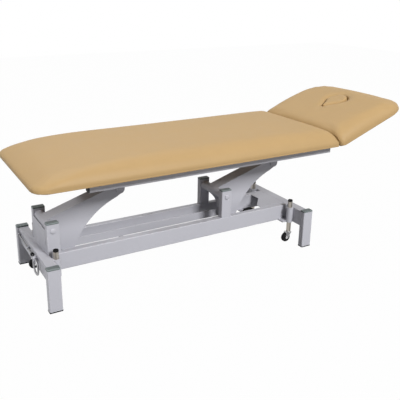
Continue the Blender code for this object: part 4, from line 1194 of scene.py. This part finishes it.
@dataclass
class Cushion:
    """An upholstered cushion: rolled edges, a crisp underside and a plainer end at the hinge."""

    node: str
    body: str
    size: Triple
    ends: tuple[CushionEnd, CushionEnd]
    place: Matrix
    fill: float = 0.75
    hole: Teardrop | None = None
    hole_play: float = 0.001
    base: float = 0.0
    undercut: float = 0.003
    waist: float = 0.010
    roll: float = 0.088
    roll_top: float = 0.965
    roll_steps: int = 14
    crown: float = 0.145
    corner_steps: int = 10
    lip: float = 0.009
    bow: float = 0.0
    bow_place: float = 0.0
    bow_reach: float = 0.230
    swelling: Swelling = field(default_factory=Swelling)

    def build(self) -> None:
        """Form the cushion, swell its cover and set it in place."""
        tools = [] if self.hole is None else self.hole_tools()
        made = upholster("shown_" + self.node, self.form().mesh("form"), tools, self.swelling)
        fit(made.data, Vector((0.0, 0.0, self.size[2] / 2)), Vector(self.size))
        self.lay(made, self.node, self.body, self.fill)

    def lay(self, made: bpy.types.Object, node: str, body: str, fill: float) -> None:
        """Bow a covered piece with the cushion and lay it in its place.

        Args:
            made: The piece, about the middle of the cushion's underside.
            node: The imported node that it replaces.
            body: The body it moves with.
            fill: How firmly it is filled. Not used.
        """
        for vertex in made.data.vertices:
            along = (vertex.co.x - self.bow_place) / self.bow_reach
            if abs(along) < 1.0:
                bow = self.bow * math.cos(along * math.pi / 2) ** 2
                vertex.co.z += bow * vertex.co.z / self.size[2]
        made.data.transform(self.place)
        settle(made, body, [node])

    def rings(self, height: float) -> list[Point]:
        """Rings from the underside up: how far in from the widest line, and how high.

        Args:
            height: The height of the crown.

        Returns:
            The rings.
        """
        top = self.roll_top * height
        rings = [(self.undercut, 0.0)]
        for step in range(self.roll_steps + 1):
            angle = math.radians(90) * step / self.roll_steps
            rise = self.waist + (top - self.waist) * math.sin(angle)
            rings.append((self.roll * (1 - math.cos(angle)), rise))
        rings.append(((self.roll + self.crown) / 2, (top + 3 * height) / 4))
        return rings + [(self.crown, height)]

    def crown_at(self, from_end: float) -> float:
        """The height of the crown, at a distance in from the +X end along the middle.

        Args:
            from_end: The distance.

        Returns:
            The height.
        """
        rings = [(self.ends[1].inset(*ring), ring[1]) for ring in self.rings(self.size[2])[1:]]
        for (near, low), (far, high) in zip(rings, rings[1:]):
            if from_end <= far:
                return low + (high - low) * (from_end - near) / (far - near)
        return self.size[2]

    def hinge_x(self) -> float:
        """Where the head hinge lies along the cushion."""
        return (self.place.inverted() @ NECK_HINGE.origin()).x

    def hole_slope(self) -> Matrix:
        """A shear that lays a level top at full height along the crown over the hole.

        Returns:
            The shear.
        """
        start = self.hinge_x() + self.hole.point
        stop = self.hinge_x() + self.hole.stop
        first, last = (self.crown_at(self.size[0] / 2 - x) for x in (start, stop))
        shear = Matrix.Identity(4)
        shear[2][0] = (last - first) / (stop - start)
        shear[2][3] = first - self.size[2] - shear[2][0] * start
        return shear

    def hole_tools(self) -> list[Blank]:
        """Cutters of the nose hole: the hole itself and the soft lip round its top.

        Returns:
            The cutters.
        """
        height = self.size[2]
        along = Vector((self.hinge_x(), 0.0, 0.0))
        through = self.hole.prism(self.hole_play, -0.5 * height, 1.5 * height).shift(along)
        lip = self.hole.prism(self.lip, height - self.lip, 1.5 * height).shift(along)
        return [through, lip.apply(self.hole_slope())]

    def outline(self, length: float, width: float) -> Blank:
        """A flat loop of edges with rounded corners, about the origin.

        Args:
            length: Its length.
            width: Its width.

        Returns:
            The loop.
        """
        bm = (made := Blank()).bm
        bmesh.ops.create_grid(bm, x_segments=1, y_segments=1, size=0.5)
        bmesh.ops.scale(bm, vec=(length, width, 1.0), verts=bm.verts)
        for sign, end in zip((-1, 1), self.ends):
            bmesh.ops.bevel(
                bm, geom=[v for v in bm.verts if v.co.x * sign > length / 2 - 1e-6],
                offset=end.corner, segments=self.corner_steps, profile=0.5,
                affect="VERTICES", clamp_overlap=True, material=-1,
            )
        bmesh.ops.delete(bm, geom=bm.faces[:], context="FACES_ONLY")
        return made

    def form(self) -> Blank:
        """The foam, a little smaller than the cushion, about the middle of its underside.

        Returns:
            The foam.
        """
        shrink = self.swelling.shrink
        length, width, height = (full - n * shrink for full, n in zip(self.size, (2, 2, 1)))
        made = self.outline(length, width)
        bm = made.bm
        ring = underside = bm.edges[:]
        size = half = Vector((length / 2, width / 2))
        shift = last_rise = 0.0
        for step, (inset, rise) in enumerate(self.rings(height)):
            moved = list({v for edge in ring for v in edge.verts})
            if step:
                grown = bmesh.ops.extrude_edge_only(bm, edges=ring)["geom"]
                ring = [item for item in grown if isinstance(item, bmesh.types.BMEdge)]
                moved = [item for item in grown if isinstance(item, bmesh.types.BMVert)]
            low, high = (end.inset(inset, rise) for end in self.ends)
            new_size = Vector((half.x - (low + high) / 2, half.y - inset))
            new_shift = (low - high) / 2
            scale = (new_size.x / size.x, new_size.y / size.y, 1.0)
            bmesh.ops.translate(bm, vec=(-shift, 0.0, rise - last_rise), verts=moved)
            bmesh.ops.scale(bm, vec=scale, verts=moved)
            bmesh.ops.translate(bm, vec=(new_shift, 0.0, 0.0), verts=moved)
            size, shift, last_rise = new_size, new_shift, rise
        for rim in (underside, ring):
            bmesh.ops.contextual_create(bm, geom=rim)
        bmesh.ops.recalc_face_normals(bm, faces=bm.faces)
        return made


def upholster(
    name: str, form: bpy.types.Mesh, tools: Sequence[Blank], swelling: Swelling
) -> bpy.types.Object:
    """Cover a foam form: cut its holes, remesh it, smooth it and swell it by a short cloth run.

    Args:
        name: The name of the covered piece.
        form: The foam's mesh, about the middle of its underside.
        tools: Cutters of its holes.
        swelling: How the cover is drawn over the foam.

    Returns:
        The covered piece.
    """
    made = link(name, form)
    cutters = [link("cutter", tool.mesh("cutter")) for tool in tools]
    for cutter in cutters:
        cut = made.modifiers.new(cutter.name, "BOOLEAN")
        cut.object = cutter
        cut.solver = "EXACT"
    remesh = made.modifiers.new("remesh", "REMESH")
    remesh.mode = "VOXEL"
    remesh.voxel_size = swelling.voxel
    made.modifiers.new("smooth", "SMOOTH").iterations = swelling.smoothing
    bpy.context.view_layer.update()
    result = made.evaluated_get(bpy.context.evaluated_depsgraph_get())
    mesh = bpy.data.meshes.new_from_object(result)
    made.modifiers.clear()
    made.data = mesh
    for cutter in cutters:
        bpy.data.meshes.remove(cutter.data)
    swell(made, swelling)
    mesh.materials.clear()
    mesh.materials.append(TAN.material())
    mesh.shade_smooth()
    return made


def fit(mesh: bpy.types.Mesh, centre: Vector, size: Vector) -> None:
    """Bring a covered form to its finished size, which smoothing draws in a little.

    Args:
        mesh: The form.
        centre: Where its middle belongs.
        size: Its finished length, width and height.
    """
    corners = [[v.co[i] for v in mesh.vertices] for i in range(3)]
    low = Vector([min(values) for values in corners])
    high = Vector([max(values) for values in corners])
    scale = [size[i] / (high[i] - low[i]) for i in range(3)]
    middle = Matrix.Translation(-(low + high) / 2)
    mesh.transform(Matrix.Translation(centre) @ Matrix.Diagonal((*scale, 1.0)) @ middle)


def swell(made: bpy.types.Object, swelling: Swelling) -> None:
    """Swell a covered piece by a short cloth run, with its underside held, and calm its cover.

    Args:
        made: The piece, about the middle of its underside.
        swelling: The pressure, the frames and the furthest a point may move.
    """
    mesh = made.data
    rest = [v.co.copy() for v in mesh.vertices]
    level = min(co.z for co in rest) + swelling.held_layer * swelling.voxel
    group = made.vertex_groups.new(name="held")
    group.add([i for i, co in enumerate(rest) if co.z < level], 1.0, "REPLACE")
    cloth = made.modifiers.new("cloth", "CLOTH")
    cloth.settings.use_pressure = True
    cloth.settings.uniform_pressure_force = swelling.pressure
    cloth.settings.vertex_group_mass = group.name
    cloth.settings.effector_weights.gravity = 0.0
    cloth.settings.quality = swelling.quality
    cloth.collision_settings.use_collision = False
    cloth.point_cache.frame_start = 1
    cloth.point_cache.frame_end = swelling.frames
    scene = bpy.context.scene
    for number in range(1, swelling.frames + 1):
        scene.frame_set(number)
    result = made.evaluated_get(bpy.context.evaluated_depsgraph_get()).to_mesh()
    moved = [v.co.copy() for v in result.vertices]
    made.modifiers.remove(cloth)
    made.vertex_groups.remove(group)
    for vertex, start, end in zip(mesh.vertices, rest, moved):
        step = end - start
        vertex.co = start + step * min(1.0, swelling.limit / max(step.length, 1e-9))
    scene.frame_set(1)
    calm_cover(mesh, swelling)


def calm_cover(mesh: bpy.types.Mesh, swelling: Swelling) -> None:
    """Draw the wrinkles out of the upper part of a cover, about the middle of its underside.

    Args:
        mesh: The cover.
        swelling: How often it is smoothed, and from which share of its height.
    """
    bm = bmesh.new()
    bm.from_mesh(mesh)
    level = swelling.calm_from * max(v.co.z for v in bm.verts)
    upper = [v for v in bm.verts if v.co.z > level]
    axes = {f"use_axis_{axis}": True for axis in "xyz"}
    for _ in range(swelling.calm):
        bmesh.ops.smooth_vert(bm, verts=upper, factor=0.5, **axes)
    bm.to_mesh(mesh)
    bm.free()


@dataclass
class NosePlug:
    """The loose upholstered plug of the nose hole, whose top follows the cushion's crown."""

    cushion: Cushion
    gap: float = 0.0026
    roll: float = 0.013
    roll_steps: int = 6
    below_top: float = 0.001
    fill: float = 0.8
    swelling: Swelling = field(default_factory=lambda: Swelling(0.004, 4, 0.0, 0.0020))

    def build(self) -> None:
        """Form the plug, swell its cover and set it in its hole."""
        cushion = self.cushion
        slope = cushion.hole_slope()
        along = Vector((cushion.hinge_x(), 0.0, 0.0))
        fall = -(slope @ (along + Vector((cushion.hole.stop, 0.0, 0.0)))).z
        base = NECK_HINGE.board_top + 2 * NECK_HINGE.seat_gap - cushion.base
        top = cushion.size[2] - self.below_top
        blank = cushion.hole.prism(-self.gap, base + fall, top).shift(along)
        blank.round(self.roll, self.roll_steps, above(top - self.below_top)).apply(slope)
        made = upholster("shown_nose_plug", blank.mesh("plug_form"), [], self.swelling)
        cushion.lay(made, "nose_plug", "nose_plug", self.fill)


@dataclass
class Upholstery:
    """The main cushion, the head cushion and the nose plug."""

    head_start: float = 0.013
    head_length: float = 0.499
    head_height: float = 0.080
    head_roll: float = 0.068
    head_bow: float = 0.012
    bow_place: float = 0.150
    board_proud: float = 0.0012

    def build(self) -> None:
        """Make the three padded pieces."""
        low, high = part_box("main_cushion")
        size = tuple(last - first for first, last in zip(low, high))
        place = Matrix.Translation(((low.x + high.x) / 2, 0.0, low.z))
        Cushion("main_cushion", "top_frame", size, (FOOT_END, MAIN_JOINT_END), place,
                swelling=Swelling(smoothing=6, calm=24)).build()
        half = self.head_length / 2
        base = NECK_HINGE.board_low + self.board_proud
        place = NECK_HINGE.matrix() @ Matrix.Translation((self.head_start + half, 0.0, base))
        size = (self.head_length, size[1], self.head_height - self.board_proud)
        head = Cushion("head_cushion", "head_section", size, (HEAD_JOINT_END, HEAD_END), place,
                       hole=Teardrop(), base=base, roll=self.head_roll, bow=self.head_bow,
                       bow_place=self.bow_place - half, swelling=Swelling(calm=8))
        head.build()
        NosePlug(head).build()


@dataclass
class Lamp:
    """A soft box: where it stands, its size and its power."""

    name: str
    place: Triple
    size: float
    power: float


@dataclass
class Studio:
    """A white sweep, three soft boxes and the camera."""

    eye: Triple = (-1.3064, -2.4714, 1.3825)
    yaw: float = 0.5168
    pitch: float = 0.3113
    roll: float = 0.0118
    lens: float = 51.33
    shift: Point = (0.0339, -0.0790)
    far: float = 60.0
    ambient: float = 0.155
    floor_colour: Colour = (0.32, 0.32, 0.32)
    floor_roughness: float = 0.9
    floor_glow: float = 0.984
    floor_size: float = 9.0
    floor_drop: float = 0.0004
    lit: Triple = (-0.24, 0.0, 0.30)
    lamps: tuple[Lamp, ...] = (
        Lamp("front_soft_box", (0.7, -5.95, 4.75), 1.8, 520.0),
        Lamp("foot_soft_box", (-6.73, -0.4, 4.05), 0.7, 170.0),
        Lamp("back_soft_box", (-0.24, 3.60, 6.40), 4.5, 183.0),
    )

    def build(self) -> None:
        """Set up the camera, the lamps, the world and the floor."""
        self.camera()
        for lamp in self.lamps:
            self.hang(lamp)
        self.world()
        self.floor()
        bpy.context.scene.view_settings.view_transform = "Standard"

    def camera(self) -> None:
        """A camera at the photograph's viewing angle, placed from the middle of the base."""
        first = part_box("leg_foot_left")[0].x
        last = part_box("leg_head_left")[1].x
        level = math.cos(self.pitch)
        sine, cosine = math.sin(self.yaw), math.cos(self.yaw)
        ahead = Vector((sine * level, cosine * level, -math.sin(self.pitch)))
        right = Vector((cosine, -sine, 0.0))
        up = right.cross(ahead)
        level_right = math.cos(self.roll) * right + math.sin(self.roll) * up
        level_up = math.cos(self.roll) * up - math.sin(self.roll) * right
        turn = Matrix((level_right, level_up, -ahead)).transposed().to_4x4()
        data = bpy.data.cameras.new("camera")
        data.lens = self.lens
        data.shift_x, data.shift_y = self.shift
        data.clip_end = self.far
        made = link("camera", data)
        place = Vector(self.eye) + Vector(((first + last) / 2, 0.0, 0.0))
        made.matrix_world = Matrix.Translation(place) @ turn
        bpy.context.scene.camera = made

    def hang(self, lamp: Lamp) -> None:
        """Hang one soft box.

        Args:
            lamp: The soft box.
        """
        data = bpy.data.lights.new(lamp.name, "AREA")
        data.energy = lamp.power
        data.size = lamp.size
        aim = (Vector(self.lit) - Vector(lamp.place)).to_track_quat("-Z", "Y")
        turn = aim.to_matrix().to_4x4()
        link(lamp.name, data).matrix_world = Matrix.Translation(lamp.place) @ turn

    def seen(self, graph: Graph) -> Value:
        """1 for what the camera sees, straight, in a reflection or through glass; 0 for light.

        Args:
            graph: The nodes to add to.

        Returns:
            The switch.
        """
        names = ("Is Camera Ray", "Is Glossy Ray", "Is Transmission Ray")
        rays = [graph.node("LightPath", {}, {}, name) for name in names]
        return rays[0].greater(rays[1]).greater(rays[2])

    def world(self) -> None:
        """A white world to look at, and a soft one to light by."""
        made = bpy.data.worlds.new("white_sweep")
        made.use_nodes = True
        bpy.context.scene.world = made
        graph = Graph(made.node_tree)
        strength = self.ambient + self.seen(graph) * (1.0 - self.ambient)
        background = made.node_tree.nodes["Background"]
        graph.plug(background.inputs["Color"], WHITE)
        graph.plug(background.inputs["Strength"], strength)

    def floor(self) -> None:
        """A pale floor that keeps a faint shadow."""
        blank = Blank()
        bmesh.ops.create_grid(blank.bm, x_segments=1, y_segments=1, size=self.floor_size)
        mesh = blank.shift(Vector((0.0, 0.0, -self.floor_drop))).mesh("floor")
        material = bpy.data.materials.new("white_floor")
        material.use_nodes = True
        nodes = material.node_tree.nodes
        graph = Graph(material.node_tree)
        shader = nodes["Principled BSDF"]
        graph.plug(shader.inputs["Base Color"], self.floor_colour)
        graph.plug(shader.inputs["Roughness"], self.floor_roughness)
        glow = graph.node("Emission", {}, {"Color": WHITE, "Strength": 1.0})
        share = self.seen(graph) * self.floor_glow
        mixed = graph.node("MixShader", {}, {0: share, 1: Value(graph, shader.outputs[0]), 2: glow})
        graph.plug(nodes["Material Output"].inputs["Surface"], mixed)
        mesh.materials.append(material)
        link("floor", mesh)


def main() -> None:
    """Build the couch's looks, sub-assembly by sub-assembly."""
    logging.basicConfig(level=logging.INFO, format="%(name)s: %(message)s")
    frames = (BaseFrame(), Casters(), CasterPedal(), TopRails())
    for part in (Studio(), *frames, *SOFTENED, Upholstery()):
        LOG.info("building %s", type(part).__name__)
        part.build()


if __name__ == "__main__":
    main()
